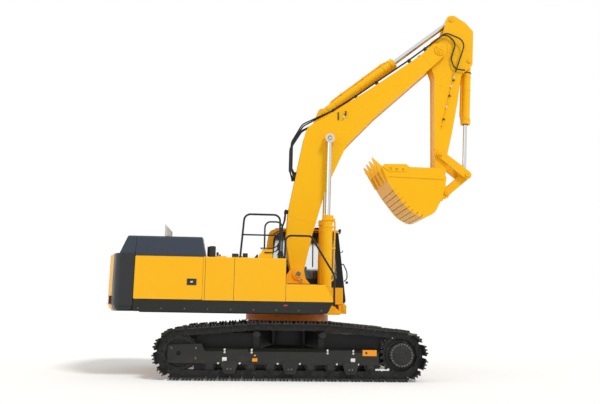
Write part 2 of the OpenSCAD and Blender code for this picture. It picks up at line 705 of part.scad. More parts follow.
// Hood shape with its front edge and the front of its hollow
module hood_form(front_x, hollow_x) {
  difference() {
    intersection() {
      slab(-hood_half, hood_half) polygon(outline([
        [cw_front_x - 290, cw_top_z, 0], [cw_front_x - 160, hood_z, 40], [front_x - 78, hood_z, 20],
        [front_x, panel_z, 0], [tail_x + 1, panel_z, 0], [tail_x + 1, cw_top_z, 0]]));
      across(cw_rear_x, 0) polygon(outline([
        [-hood_half, panel_z - 1, 0], [hood_half, panel_z - 1, 0], [hood_half, panel_z + 60, 0],
        [hood_half - 50, hood_z, 60], [-hood_half + 50, hood_z, 60], [-hood_half, panel_z + 60, 0]]));
    }
    slab(-hood_half + 90, hood_half - 90) polygon([
      [tail_x + 50, panel_z - 10], [tail_x + 50, hood_z - 30],
      [hollow_x - 80, hood_z - 30], [hollow_x, panel_z - 10]]);
  }
}
hood_seam_x = cw_front_x + 16;
hood_seam_y = -380;
hood_front_x = bay_front_x - 291;
cover_in_y = -1100;
bay_plate_t = 12;
module rear_cover()
  color(slate) {
    difference() {
      hood_form(bay_front_x - 6, hood_front_x - 30);
      block([hood_seam_x, hood_seam_y, panel_z - 20], [hood_front_x + panel_gap, half_w, hood_z + 10]);
      block([hood_front_x + panel_gap - 1, cover_in_y, panel_z - 20], [bay_front_x + 10, half_w, hood_z + 10]);
      translate([exhaust_x, exhaust_y, hood_z - 100]) cylinder(r = 150, h = 200, $fn = 48);
      // Seam over the counterweight's front face
      difference() {
        block([cw_front_x - panel_gap, -half_w, panel_z], [cw_front_x, half_w, hood_z + 10]);
        block([cw_front_x - panel_gap - 1, -hood_half + 62, panel_z - 1], [cw_front_x + 1, hood_half - 62, hood_z - 10]);
      }
    }
    // Flat plate between the hood and the front wall of the bay
    block([hood_front_x + panel_gap, cover_in_y - 1, panel_z], [bay_front_x - 6, hood_half, panel_z + bay_plate_t]);
  }

module engine_hood()
  color(slate) intersection() {
    hood_form(hood_front_x, hood_front_x - 44);
    block([hood_seam_x + panel_gap, hood_seam_y + panel_gap, panel_z + seat_gap],
          [hood_front_x + 10, half_w, hood_z + 10]);
  }

// Exhaust stack with a slanted outlet
exhaust_x = -2430;
exhaust_y = -600;
exhaust_r = 75;
exhaust_top_z = 2940;
module exhaust()
  color(chrome) difference() {
    translate([exhaust_x, exhaust_y, engine_top_z]) cylinder(r = exhaust_r, h = exhaust_top_z - engine_top_z, $fn = 48);
    translate([exhaust_x, exhaust_y, engine_top_z + 20]) cylinder(r = exhaust_r - 6, h = 1000, $fn = 48);
    slab(exhaust_y - 200, exhaust_y + 200) polygon([
      [exhaust_x - 90, exhaust_top_z + 1], [exhaust_x + 90, exhaust_top_z - 190], [exhaust_x + 90, exhaust_top_z + 100],
      [exhaust_x - 90, exhaust_top_z + 100]]);
  }

// Handrails on the right side
hand_r = 19;
rail_y = -half_w + 60;
rail_top_z = 3050;
front_rail_x = skirt_front_x + 94;
foot_t = 8;
module rail_foot(x, y)
  block([x - 32, y - 28, panel_z], [x + 32, y + 28, panel_z + foot_t]);
module handrails() {
  low = panel_z + foot_t - 2;
  inner_y = tank_in_y - 60;
  color(steel) {
    // Rail on the tank's outer edge, with a middle bar
    tube([[-975, low, 0], [-915, rail_top_z, 120], [-240, rail_top_z, 120], [-235, low, 0]], rail_y, hand_r);
    tube([[-955, 2658, 0], [-238, 2658, 0]], rail_y, hand_r - 4);
    for (x = [-975, -235]) rail_foot(x, rail_y);
    // Rail on the tank's inner edge
    tube([[-510, low, 0], [-510, rail_top_z, 120], [-150, rail_top_z, 120], [-150, low, 0]], inner_y, hand_r - 2);
    for (x = [-510, -150]) rail_foot(x, inner_y);
    // Rail from the tank's front edge over the tool box
    tube([[tank_front_x - 28, low, 0], [tank_front_x - 16, 2660, 110], [353, 2660, 80],
      [front_rail_x, 1933, 120], [front_rail_x, deck_z - 25, 0]], rail_y, hand_r);
    block([tank_front_x - 50, rail_y - 28, panel_z], [tank_front_x - panel_gap / 2 - 1, rail_y + 28, panel_z + foot_t]);
    block([skirt_front_x - 2, rail_y - 19, deck_z - 40], [front_rail_x + hand_r, rail_y + 28, deck_z - 4]);
  }
}

// Cab: floor, posts and lower walls in one hollow shell
cab_low_z = deck_z;
roof_rise = 30;
function cab_side(d) = outline([
  [cab_rear_x + d, cab_low_z + d, d > 0 ? 0 : 20], [cab_nose_x - d * 1.1, cab_low_z + d, d > 0 ? 0 : 60],
  [cab_front_x - d * 1.1, cab_top_z - roof_rise - d, 60], [cab_rear_x + 50 + d, cab_top_z - roof_rise - d, 140],
  [cab_rear_x + d, cab_top_z - 620, 200]]);
door_a = [cab_rear_x + 560, cab_front_x + 60];
sill_z = cab_low_z + 60;
window_z = cab_low_z + 780;
doorway = outline([
  [door_a[0], sill_z, 40], [door_a[1], sill_z, 40], [door_a[1] - 90, cab_top_z - 180, 40],
  [door_a[0], cab_top_z - 180, 40]]);
module cab_shell()
  color(yellow) difference() {
    slab(cab_in_y, cab_out_y) polygon(cab_side(0));
    slab(cab_in_y + cab_t, cab_out_y - cab_t) polygon(cab_side(cab_t));
    // Windows in the inner side wall
    slab(cab_in_y - 1, cab_in_y + cab_t + 1) polygon(outline([
      [cab_rear_x + 120, window_z, 40], [cab_rear_x + 620, window_z, 40], [cab_rear_x + 620, cab_top_z - 190, 40],
      [cab_rear_x + 200, cab_top_z - 190, 40]]));
    slab(cab_in_y - 1, cab_in_y + cab_t + 1) polygon(outline([
      [cab_rear_x + 690, window_z - 260, 40], [cab_nose_x - 190, window_z - 260, 40],
      [cab_front_x - 95, cab_top_z - 190, 40], [cab_rear_x + 690, cab_top_z - 190, 40]]));
    // Rear quarter window in the outer side wall
    slab(cab_out_y - cab_t - 1, cab_out_y + 1) polygon(outline([
      [cab_rear_x + 120, window_z, 40], [door_a[0] - 70, window_z, 40], [door_a[0] - 70, cab_top_z - 190, 40],
      [cab_rear_x + 200, cab_top_z - 190, 40]]));
    // Doorway in the outer side wall, with a lip behind the door
    slab(cab_out_y - cab_t + 4 - seat_gap, cab_out_y + 1) polygon(doorway);
    slab(cab_out_y - cab_t - 1, cab_out_y) offset(delta = -22) polygon(doorway);
    windscreen_prism();
    rear_window_prism();
  }

// Spaces of the windscreen and the rear window
module windscreen_prism()
  across(cab_front_x - 200, cab_nose_x + 50) polygon([
    [cab_in_y + 70, cab_low_z + 130], [cab_out_y - 70, cab_low_z + 130],
    [cab_out_y - 70, cab_top_z - 190], [cab_in_y + 70, cab_top_z - 190]]);
module rear_window_prism()
  across(cab_rear_x - 50, cab_rear_x + 160) polygon([
    [cab_in_y + 90, window_z], [cab_out_y - 90, window_z],
    [cab_out_y - 90, cab_top_z - 220], [cab_in_y + 90, cab_top_z - 220]]);

module cab_roof()
  color(yellow)
    slab(cab_in_y + 5, cab_out_y - 5) polygon(outline([
      [cab_rear_x + 165, cab_top_z - roof_rise, 0], [cab_front_x + 14, cab_top_z - roof_rise, 0],
      [cab_front_x + 4, cab_top_z - 16, 6], [cab_rear_x + 460, cab_top_z + 4, 300], [cab_rear_x + 205, cab_top_z + 4, 20]]));

// Panes set into the window openings
pane_t = 6;
module cab_glass()
  color(glassy) {
    for (front = [true, false]) intersection() {
      if (front) windscreen_prism(); else rear_window_prism();
      slab(cab_in_y, cab_out_y) difference() {
        polygon(cab_side(20));
        polygon(cab_side(20 + pane_t));
      }
    }
    slab(cab_in_y + 20, cab_in_y + 20 + pane_t) polygon(outline([
      [cab_rear_x + 120, window_z, 40], [cab_rear_x + 620, window_z, 40], [cab_rear_x + 620, cab_top_z - 190, 40],
      [cab_rear_x + 200, cab_top_z - 190, 40]]));
    slab(cab_in_y + 20, cab_in_y + 20 + pane_t) polygon(outline([
      [cab_rear_x + 690, window_z - 260, 40], [cab_nose_x - 190, window_z - 260, 40],
      [cab_front_x - 95, cab_top_z - 190, 40], [cab_rear_x + 690, cab_top_z - 190, 40]]));
    slab(cab_out_y - 20 - pane_t, cab_out_y - 20) polygon(outline([
      [cab_rear_x + 120, window_z, 40], [door_a[0] - 70, window_z, 40], [door_a[0] - 70, cab_top_z - 190, 40],
      [cab_rear_x + 200, cab_top_z - 190, 40]]));
  }

// Cab door with its window
door_gap = 8;
module cab_door()
  color(yellow) difference() {
    slab(cab_out_y - cab_t + 4, cab_out_y) offset(delta = -door_gap) polygon(doorway);
    slab(cab_out_y - cab_t, cab_out_y + 1) polygon(outline([
      [door_a[0] + 80, window_z, 40], [door_a[1] - 120, window_z, 40], [door_a[1] - 165, cab_top_z - 260, 40],
      [door_a[0] + 80, cab_top_z - 260, 40]]));
  }

// Seat on a pedestal
seat_x = 180;
seat_y = (cab_in_y + cab_out_y) / 2;
module cab_seat()
  color(steel) {
    block([seat_x - 180, seat_y - 200, cab_low_z + cab_t], [seat_x + 180, seat_y + 200, cab_low_z + 330]);
    slab(seat_y - 250, seat_y + 250) polygon(outline([
      [seat_x - 260, cab_low_z + 320, 40], [seat_x + 280, cab_low_z + 320, 50], [seat_x + 280, cab_low_z + 440, 50],
      [seat_x - 130, cab_low_z + 430, 30], [seat_x - 260, cab_low_z + 1150, 50], [seat_x - 370, cab_low_z + 1130, 50]]));
  }

// Side console with the display post
module cab_console()
  color(steel) {
    block([seat_x - 220, seat_y - 400, cab_low_z + cab_t], [seat_x + 320, seat_y - 270, cab_low_z + 560]);
    block([seat_x - 220, seat_y + 270, cab_low_z + cab_t], [seat_x + 320, seat_y + 340, cab_low_z + 560]);
    translate([seat_x + 250, seat_y - 330, cab_low_z + 559]) cylinder(r = 14, h = 170, $fn = 24);
    translate([seat_x + 250, seat_y - 330, cab_low_z + 728]) cylinder(r1 = 20, r2 = 30, h = 62, $fn = 32);
    translate([seat_x + 250, seat_y + 305, cab_low_z + 559]) cylinder(r = 14, h = 170, $fn = 24);
    translate([seat_x + 250, seat_y + 305, cab_low_z + 728]) cylinder(r1 = 20, r2 = 30, h = 62, $fn = 32);
  }

// Boom: a box of top and belly plates between two side plates
boom_side = concat(
  rows_at(boom_foot, [[-135, -40, 120], [0, -150, 120], [95, -30, 80]]),
  boom_rows([[289, 846, 0], [552, 1771, 0], [692, 2093, 0], [1003, 2781, 800], [1669, 3486, 0], [2874, 4598, 300]]),
  rows_at(arm_pin, [[170, -60, 120], [60, 165, 130], [-150, 130, 90]]),
  boom_rows([[2614, 4858, 300], [1604, 4119, 0], [450, 3323, 0], [130, 3140, 330], [-27, 2347, 900],
    [-223, 1320, 0], [-260, 700, 300]]));
boom_half = boom_w / 2;
fork_half = arm_w / 2 + 16;
fork_r = 525;
module boom_cover(d) offset(delta = -d) polygon(outline(boom_side));
module boom()
  color(yellow) difference() {
    union() {
      slab(-boom_half + 1, boom_half - 1) boom_cover(16);
      both_sides() slab(boom_half - side_plate_t, boom_half) boom_cover(0);
      // Bosses at the cylinder pin, the foot and the nose
      both_sides() bar_y(boom_cyl_top, 120, boom_half - 1, boom_cyl_y - cyl_eye_half - turn_gap);
      both_sides() bar_y(arm_pin, 130, boom_half - 1, boom_half + 24);
      // Lugs for the arm cylinder's base
      both_sides() slab(arm_lug_in, arm_lug_in + 40) polygon(outline([
        for (r = rows_at(arm_cyl_base, [[-292, -389, 0], [328, 21, 0], [105, 110, 100], [-110, 90, 100]])) r]));
      bar_y(arm_cyl_base, base_pin_r, -arm_lug_in - 60, arm_lug_in + 60);
    }
    bar_y(boom_foot, foot_pin_r + pin_gap, -boom_half - 40, boom_half + 40);
    // Fork for the arm, round the arm pin
    difference() {
      bar_y(arm_pin, fork_r, -fork_half, fork_half);
      bar_y(arm_pin, arm_pin_r, -fork_half - 1, fork_half + 1);
    }
    // Seat for the arm cylinder's base eye
    difference() {
      bar_y(arm_cyl_base, 112, -arm_lug_in, arm_lug_in);
      bar_y(arm_cyl_base, base_pin_r, -arm_lug_in - 1, arm_lug_in + 1);
    }
    from_to(arm_cyl_base, arm_cyl_eye) along_x(arm_base_r, arm_cyl_d / 2 + pass_gap, 900);
  }

// Pipes along the top of the boom, with hoses at the back and over the nose to the arm
pipe_r = 15;
pipe_y = [220, 258];
pipe_back = [[-128, 2040, 0], [-168, 2200, 120], [-165, 2800, 260], [60, 3172, 200], [640, 3506, 300]];
pipe_back_out = [[-118, 2120, 0], [-196, 2280, 120], [-192, 2790, 240], [40, 3200, 200], [640, 3506, 300]];
pipe_top = [[1193, 3880, 900], [1648, 4222, 900], [2380, 4762, 900]];
hose_nose = [[-170, 158, 0], [140, 420, 150], [372, 190, 170], [252, -190, 160], [320, -420, 140], [560, -441, 0]];
hose_nose_out = [[-170, 158, 0], [130, 410, 150], [590, 235, 200], [335, -505, 0]];
clamp_at = [[697, 3541], [1193, 3880], [1648, 4222], [2380, 4762], [2746, 5053]];
module boom_pipes() {
  color(steel) both_sides() {
    tube(concat(boom_rows(concat(pipe_back, pipe_top)), rows_at(arm_pin, hose_nose)), pipe_y[0], pipe_r);
    tube(concat(boom_rows(concat(pipe_back_out, pipe_top)), rows_at(arm_pin, hose_nose_out)), pipe_y[1], pipe_r);
    difference() {
      union() {
        for (c = clamp_at)
          translate([on_boom(c[0], c[1])[0], 0, on_boom(c[0], c[1])[1]]) rotate([0, -37, 0])
            block([-26, pipe_y[0] - 26, -140], [26, pipe_y[1] + 10, 22]);
        slab(pipe_y[0] - 24, boom_half - side_plate_t - seat_gap) polygon([for (r = [
          [-152, 2050], [-152, 2150], [60, 2150], [60, 2050]]) on_boom(r[0], r[1])]);
        slab(60, 126) polygon([for (r = [[-300, 1300], [-300, 1350], [-100, 1350], [-100, 1300]]) on_boom(r[0], r[1])]);
      }
      slab(0, boom_half - side_plate_t) boom_cover(16 - seat_gap);
      slab(boom_half - side_plate_t - 1, boom_half + 40) boom_cover(-seat_gap);
    }
    // Hoses from the frame to the boom
    tube(boom_rows([[-268, 1362, 0], [-292, 1130, 200], [-372, 900, 200], [-383, 500, 0]]), 93, 19);
  }
}

// Arm
arm_half = arm_w / 2;
arm_lug_in = 76;
arm_side = concat(
  rows_at(bucket_pin, [[60, -115, 90], [130, 40, 60], [178, 436, 0], [285, 891, 0]]),
  rows_at(arm_pin, [[386, -1185, 0], [494, -538, 120], [754, -298, 110], [795, 509, 60], [618, 709, 0]]),
  rows_at(arm_cyl_eye, [[60, 95, 90], [-85, 70, 80]]),
  rows_at(arm_pin, [[82, 399, 200], [-225, 190, 190], [-235, -260, 200], [-124, -595, 200]]),
  rows_at(bucket_pin, [[-112, 151, 0], [-112, -90, 100]]));
arm_pipe = [arm_pin + [340, -520], bucket_pin + [58, 1020]];
bucket_eye_half = 60;
module arm()
  color(yellow) difference() {
    union() {
      slab(-arm_half + 1, arm_half - 1) offset(delta = -14) polygon(outline(arm_side));
      both_sides() slab(arm_half - side_plate_t + 4, arm_half) polygon(outline(arm_side));
      // Boss at the boom pin, and the caps of the pins at the top and the back
      both_sides() {
        bar_y(arm_pin, 150, arm_half - 1, fork_half - turn_gap);
        bar_y(arm_cyl_eye, 70, arm_half - 1, arm_half + 14);
        bar_y(bucket_cyl_base, 62, arm_half - 1, arm_half + 14);
        bar_y(guide_pin, link_pin_r, arm_half - 1, link_in_y + link_t + 12);
      }
      // Pipe to the bucket cylinder along each side, in clamps
      both_sides() translate([0, arm_half + 13, 0]) from_to(arm_pipe[0], arm_pipe[1]) {
        along_x(0, 10, norm(arm_pipe[1] - arm_pipe[0]));
        for (t = [0.03, 0.33, 0.63, 0.95])
          translate([t * norm(arm_pipe[1] - arm_pipe[0]), 0, 0]) block([-22, -16, -20], [22, 11, 20]);
      }
    }
    // Room between the ears for the arm cylinder's eye
    slab(-eye_half_arm - turn_gap, eye_half_arm + turn_gap) polygon(outline(rows_at(arm_cyl_eye, [
      [-360, -315, 0], [-260, -495, 60], [-30, -515, 160], [170, -255, 120], [150, 285, 0], [-360, 285, 0]])));
    // Room between the ears for the bucket cylinder's base
    difference() {
      slab(-bucket_eye_half - lug_gap, bucket_eye_half + lug_gap) polygon(outline(rows_at(bucket_cyl_base, [
        [-277, -445, 0], [323, -445, 0], [323, 145, 0], [-87, 145, 60], [-187, -45, 60]])));
      bar_y(bucket_cyl_base, base_pin_r, -arm_half, arm_half);
    }
    from_to(bucket_cyl_base, bucket_cyl_eye) along_x(bucket_base_r, bucket_cyl_d / 2 + pass_gap, 700);
    bar_y(arm_pin, arm_pin_r + pin_gap, -arm_half - 40, arm_half + 40);
    bar_y(bucket_pin, link_pin_r + pin_gap, -arm_half - 1, arm_half + 1);
  }
eye_half_arm = 64;

// Bucket
bucket_half = bucket_w / 2;
ear_in = arm_half + 8;
ear_t = 50;
pin_clear_r = 175;
lip = bucket_pin + [-1369, -2];
bucket_rim = rows_at(bucket_pin, [
  [-1369, -2, 0], [-1300, 75, 0], [-841, 88, 30], [-761, 28, 30], [-100, 24, 40], [20, -175, 60]]);
bucket_back = rows_at(bucket_pin, [
  [-5, -335, 60], [-104, -653, 200], [-250, -945, 260], [-490, -1045, 160], [-770, -905, 300],
  [-1151, -441, 400], [-1261, -243, 0]]);
bucket_rows = concat(bucket_rim, bucket_back);
lip_corner = bucket_pin + [-1261, -243];
// Grooves between the wear plates, from the lip corner back along the floor
groove_start = 285;
groove_pitch = 115;
groove_w = 14;
groove_depth = 11;
floor_line = bent(rows_at(bucket_pin, [
  [-1261, -243, 0], [-1151, -441, 400], [-770, -905, 300], [-490, -1045, 160], [-250, -945, 260], [-104, -653, 0]]));
// Proud plates on the sides: a band under the rim and the side cutter in front
bar_t = 9;
cutter_t = 20;
cutter_holes = [[-1172, -24], [-1046, -36], [-908, -36]];
module bucket()
  color(yellow) difference() {
    union() {
      // Side plates
      both_sides() slab(bucket_half - bucket_side_t, bucket_half) polygon(outline(bucket_rows));
      both_sides() slab(bucket_half - 1, bucket_half + bar_t) polygon(outline(rows_at(bucket_pin, [
        [-1357, -10, 0], [-1296, 64, 0], [-845, 77, 30], [-765, 17, 30], [-106, 13, 40], [-40, -90, 60],
        [-25, -212, 0], [-1215, -188, 30], [-1262, -214, 0]])));
      both_sides() slab(bucket_half - 1, bucket_half + cutter_t) polygon(outline(rows_at(bucket_pin, [
        [-1340, 10, 10], [-1294, 60, 10], [-850, 72, 30], [-790, 24, 30], [-845, -78, 40], [-1190, -82, 40]])));
      // Shell with its open mouth, kept clear of the arm's end
      difference() {
        slab(-bucket_half + 1, bucket_half - 1) difference() {
          polygon(outline(bucket_rows));
          offset(delta = -bucket_shell_t) polygon(outline(bucket_rows));
          polygon([for (r = [[-1350, -15], [-70, -235], [150, -235], [150, 365], [-1550, 365], [-1550, 245]])
            bucket_pin + r]);
        }
        bar_y(bucket_pin, pin_clear_r, -bucket_half + bucket_side_t, bucket_half - bucket_side_t);
      }
      // Ears for the arm pin and the link pin, with their pins
      both_sides() slab(ear_in, ear_in + ear_t) polygon(outline(concat(
        rows_at(bucket_pin, [[-160, -155, 0], [-100, 110, 120], [130, 60, 110], [60, -235, 60]]),
        rows_at(link_pin, [[90, 70, 80], [50, -100, 90]]),
        rows_at(bucket_pin, [[-110, -635, 0], [-70, -475, 0]]))));
      bar_y(bucket_pin, link_pin_r, -ear_in - ear_t - 14, ear_in + ear_t + 14);
      both_sides() bar_y(link_pin, link_pin_r, link_half + turn_gap, ear_in + ear_t + 14);
      // Tube across the back between the ears
      bar_y(bucket_pin + [-60, -275], 60, -bucket_half + 2, bucket_half - 2);
    }
    for (i = [0:wear_count - 2]) {
      at = walk(floor_line, groove_start + i * groove_pitch);
      slab(-bucket_half - 1, bucket_half + 1) polygon([for (e = [
        [-groove_w / 2, -groove_depth], [-groove_w / 2, 60], [groove_w / 2, 60], [groove_w / 2, -groove_depth]])
        at[0] + at[1] * e[0] + [at[1][1], -at[1][0]] * -e[1]]);
    }
    both_sides() for (h = cutter_holes) bar_y(bucket_pin + h, 24, bucket_half + 2, bucket_half + cutter_t + 1);
  }

// Teeth on the lip, as points along the lip's slope and out from it: an adapter and a pointed tip
lip_dir = unit2(lip - lip_corner);
function lip_at(s, h) = lip + lip_dir * s + [-lip_dir[1], lip_dir[0]] * h;
adapter_side = [
  lip_at(-300, 4), lip_at(-270, 34), lip_at(-30, 56), lip_at(62, 66), lip_at(62, -24), lip_at(20, -46), lip_at(-40, -46)];
// Sections of a tip as [distance, inner height, outer height, half width]
tip_rows = [[60, -20, 62, 44], [150, 12, 84, 36], [276, 66, 82, 15]];
tooth_edge = bucket_half - bucket_side_t - 2;
module tip(y) {
  rings = [for (r = tip_rows) for (e = [[r[1], -1], [r[2], -1], [r[2], 1], [r[1], 1]])
    let (p = lip_at(r[0], e[0])) [p[0], y + e[1] * r[3], p[1]]];
  polyhedron(rings, concat(
    [[3, 2, 1, 0]],
    [for (i = [0, 1], k = [0:3]) let (j = 4 * i, e = (k + 1) % 4) each [
      [j + k, j + 4 + e, j + 4 + k], [j + k, j + e, j + 4 + e]]],
    [[8, 9, 10, 11]]));
}
module bucket_teeth()
  color(yellow)
    for (i = [0:tooth_count - 1]) {
      y = -tooth_edge + tooth_w / 2 + i * (2 * tooth_edge - tooth_w) / (tooth_count - 1);
      slab(y - tooth_w / 2, y + tooth_w / 2) difference() {
        polygon(adapter_side);
        offset(delta = seat_gap) polygon(outline(bucket_rows));
      }
      tip(y);
    }

// Boom cylinders, one on each side of the boom
gland_len = 90;
neck = 12;
boom_base_r = 95;
arm_base_r = 105;
bucket_base_r = 88;
module along_x(x, r, len)
  translate([x, 0, 0]) rotate([0, 90, 0]) cylinder(r = r, h = len, $fn = 64);
module barrel(p, q, len_b, d, rod_d, eye_r, half)
  difference() {
    union() {
      from_to(p, q) {
        along_x(eye_r * 0.6, half - 4, eye_r * 0.6 + 20);
        along_x(eye_r + neck, d / 2, len_b - eye_r - neck - 5);
        along_x(len_b - gland_len, d / 2 + 12, gland_len);
      }
      bar_y(p, eye_r, -half, half);
    }
    bar_y(p, base_pin_r + pin_gap, -half - 1, half + 1);
    from_to(p, q) {
      along_x(eye_r * 0.6 + 190, d / 2 - 18, len_b - eye_r * 0.6 - 190 - gland_len);
      along_x(len_b - gland_len - 1, rod_d / 2 + pin_gap, gland_len + 2);
    }
  }

module piston_rod(p, q, start, d, eye_r, half) {
  from_to(p, q) along_x(start, d / 2, norm(q - p) - start - eye_r * 0.7);
  bar_y(q, eye_r, -half, half);
}

boom_barrel_len = 1650;
arm_barrel_len = 2000;
bucket_barrel_len = 1440;
boom_rod_d = 96;
arm_rod_d = 110;
bucket_rod_d = 92;
rod_in = 200;
module boom_cylinder_barrels()
  color(yellow) both_sides() translate([0, boom_cyl_y, 0])
    barrel(boom_cyl_foot, boom_cyl_top, boom_barrel_len, boom_cyl_d, boom_rod_d, boom_base_r, cyl_eye_half);
module boom_cylinder_rods()
  color(chrome) both_sides() translate([0, boom_cyl_y, 0]) {
    piston_rod(boom_cyl_foot, boom_cyl_top, boom_barrel_len - rod_in, boom_rod_d, 100, cyl_eye_half);
    bar_y(boom_cyl_top, 62, cyl_eye_half - 1, cyl_eye_half + 16);
  }
module arm_cylinder_barrel()
  color(yellow) barrel(arm_cyl_base, arm_cyl_eye, arm_barrel_len, arm_cyl_d, arm_rod_d, arm_base_r,
                       arm_lug_in - lug_gap);
module arm_cylinder_rod()
  color(chrome) piston_rod(arm_cyl_base, arm_cyl_eye, arm_barrel_len - rod_in, arm_rod_d, 100, eye_half_arm);
module bucket_cylinder_barrel()
  color(yellow) barrel(bucket_cyl_base, bucket_cyl_eye, bucket_barrel_len, bucket_cyl_d, bucket_rod_d, bucket_base_r,
                       bucket_eye_half);
module bucket_cylinder_rod()
  color(chrome) piston_rod(bucket_cyl_base, bucket_cyl_eye, bucket_barrel_len - rod_in, bucket_rod_d, 88,
                           bucket_eye_half);

// Guide links outside the arm, with stub pins to the bucket link
link_in_y = arm_half + 6;
link_t = 44;
link_half = 130;
module guide_links()
  color(yellow) both_sides() {
    difference() {
      slab(link_in_y, link_in_y + link_t) polygon(strap(guide_pin, 82, bucket_cyl_eye, 92));
      bar_y(guide_pin, link_pin_r + pin_gap, link_in_y - 1, link_in_y + link_t + 1);
    }
    bar_y(bucket_cyl_eye, link_pin_r, bucket_eye_half + turn_gap, link_in_y + link_t + 12);
  }

// Link from the guide links to the bucket
module bucket_link()
  color(yellow) {
    difference() {
      both_sides() slab(70, link_half) polygon(strap(bucket_cyl_eye, 88, link_pin, 82));
      bar_y(bucket_cyl_eye, link_pin_r + pin_gap, -200, 200);
    }
    bar_y(along(bucket_cyl_eye, link_pin, norm(link_pin - bucket_cyl_eye) * 0.6), 40, -75, 75);
  }

car_body();
track_frame_right();
track_frame_left();
track_right();
track_left();
rollers_right();
rollers_left();
idler_right();
idler_left();
sprocket_right();
sprocket_left();
slew_ring();
upper_frame();
counterweight();
engine_block();
bay_walls();
rear_cover();
tank_body();
left_housing();
side_skirts();
toolbox();
toolbox_lid();
engine_hood();
service_door_right();
service_door_left();
exhaust();
handrails();
cab_shell();
cab_roof();
cab_glass();
cab_door();
cab_seat();
cab_console();
boom();
boom_pipes();
arm();
bucket();
bucket_teeth();
boom_cylinder_barrels();
boom_cylinder_rods();
arm_cylinder_barrel();
arm_cylinder_rod();
bucket_cylinder_barrel();
bucket_cylinder_rod();
guide_links();
bucket_link();
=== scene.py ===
"""Crawler excavator: finishes, fittings and wear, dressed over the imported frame."""
import math
import bmesh
import bpy
from mathutils import Matrix, Vector


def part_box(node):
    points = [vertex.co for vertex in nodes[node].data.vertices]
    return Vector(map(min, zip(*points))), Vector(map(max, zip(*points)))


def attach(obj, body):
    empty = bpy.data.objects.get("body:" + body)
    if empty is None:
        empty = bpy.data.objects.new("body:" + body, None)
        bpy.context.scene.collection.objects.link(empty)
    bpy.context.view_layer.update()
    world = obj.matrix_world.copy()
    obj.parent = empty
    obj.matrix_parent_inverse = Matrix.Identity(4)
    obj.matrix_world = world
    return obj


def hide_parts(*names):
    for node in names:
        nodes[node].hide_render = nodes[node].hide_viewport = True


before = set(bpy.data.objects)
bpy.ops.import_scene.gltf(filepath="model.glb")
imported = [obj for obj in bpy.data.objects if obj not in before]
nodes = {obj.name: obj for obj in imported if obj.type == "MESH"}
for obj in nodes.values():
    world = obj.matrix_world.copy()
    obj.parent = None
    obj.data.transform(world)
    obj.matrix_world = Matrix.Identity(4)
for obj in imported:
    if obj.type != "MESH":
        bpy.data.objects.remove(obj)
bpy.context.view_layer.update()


def placed(name, data):
    """An object with some data, linked to the scene."""
    made = bpy.data.objects.new(name, data)
    bpy.context.scene.collection.objects.link(made)
    return made


# Camera, fitted to the photograph's tracks and house

PHOTO_WIDTH = 600
FOCAL_PIXELS = 631.4
SENSOR_MM = 36.0
CAMERA_PLACE = Vector((-0.709, -13.309, 1.290))
CAMERA_YAW = math.radians(4.05)
CAMERA_PITCH = math.radians(9.62)
CAMERA_ROLL = math.radians(0.91)


def place_camera():
    ahead = Vector((
        math.sin(CAMERA_YAW) * math.cos(CAMERA_PITCH),
        math.cos(CAMERA_YAW) * math.cos(CAMERA_PITCH),
        math.sin(CAMERA_PITCH),
    ))
    level = Vector((math.cos(CAMERA_YAW), -math.sin(CAMERA_YAW), 0))
    above = level.cross(ahead)
    right = level * math.cos(CAMERA_ROLL) + above * math.sin(CAMERA_ROLL)
    up = above * math.cos(CAMERA_ROLL) - level * math.sin(CAMERA_ROLL)
    data = bpy.data.cameras.new("camera")
    data.sensor_width = SENSOR_MM
    data.lens = FOCAL_PIXELS * SENSOR_MM / PHOTO_WIDTH
    data.clip_end = 2000
    camera = placed("camera", data)
    turn = Matrix((right, up, -ahead)).transposed().to_4x4()
    camera.matrix_world = Matrix.Translation(CAMERA_PLACE) @ turn
    bpy.context.scene.camera = camera


place_camera()
bpy.context.scene.view_settings.view_transform = "Standard"

# Node and colour helpers


def colour(code):
    """An sRGB hex value as a linear colour."""
    parts = [int(code[i:i + 2], 16) / 255 for i in (1, 3, 5)]
    return [*(c / 12.92 if c <= 0.04045 else ((c + 0.055) / 1.055) ** 2.4 for c in parts), 1]


def per_mm(size):
    """The scale of a pattern whose features are about so many millimetres."""
    return 1000 / size


def add(tree, kind, sockets=None, **settings):
    """One node with its settings. A socket takes a value, or another node's output."""
    node = tree.nodes.new(kind)
    for name, value in settings.items():
        setattr(node, name, value)
    for key, value in (sockets or {}).items():
        if isinstance(value, bpy.types.NodeSocket):
            tree.links.new(value, node.inputs[key])
        else:
            node.inputs[key].default_value = value
    return node


def new_material(name):
    material = bpy.data.materials.new(name)
    material.use_nodes = True
    tree = material.node_tree
    tree.nodes.clear()
    place = add(tree, "ShaderNodeTexCoord").outputs["Object"]
    return material, tree, place


def finish_material(tree, sockets):
    shader = add(tree, "ShaderNodeBsdfPrincipled", sockets)
    add(tree, "ShaderNodeOutputMaterial", {"Surface": shader.outputs[0]})


def noise(tree, place, size, detail=3.0):
    """Noise whose features are so many millimetres."""
    return add(tree, "ShaderNodeTexNoise", {
        "Vector": place, "Scale": per_mm(size), "Detail": detail, "Roughness": 0.55}).outputs[0]


def ramp(tree, value, low, high, start=0.0, end=1.0):
    """A value moved from low..high to start..end, and held there."""
    return add(tree, "ShaderNodeMapRange", {
        0: value, 1: low, 2: high, 3: start, 4: end}, clamp=True).outputs[0]


def mix(tree, share, first, second):
    return add(tree, "ShaderNodeMix", {0: share, 6: first, 7: second}, data_type="RGBA").outputs[2]


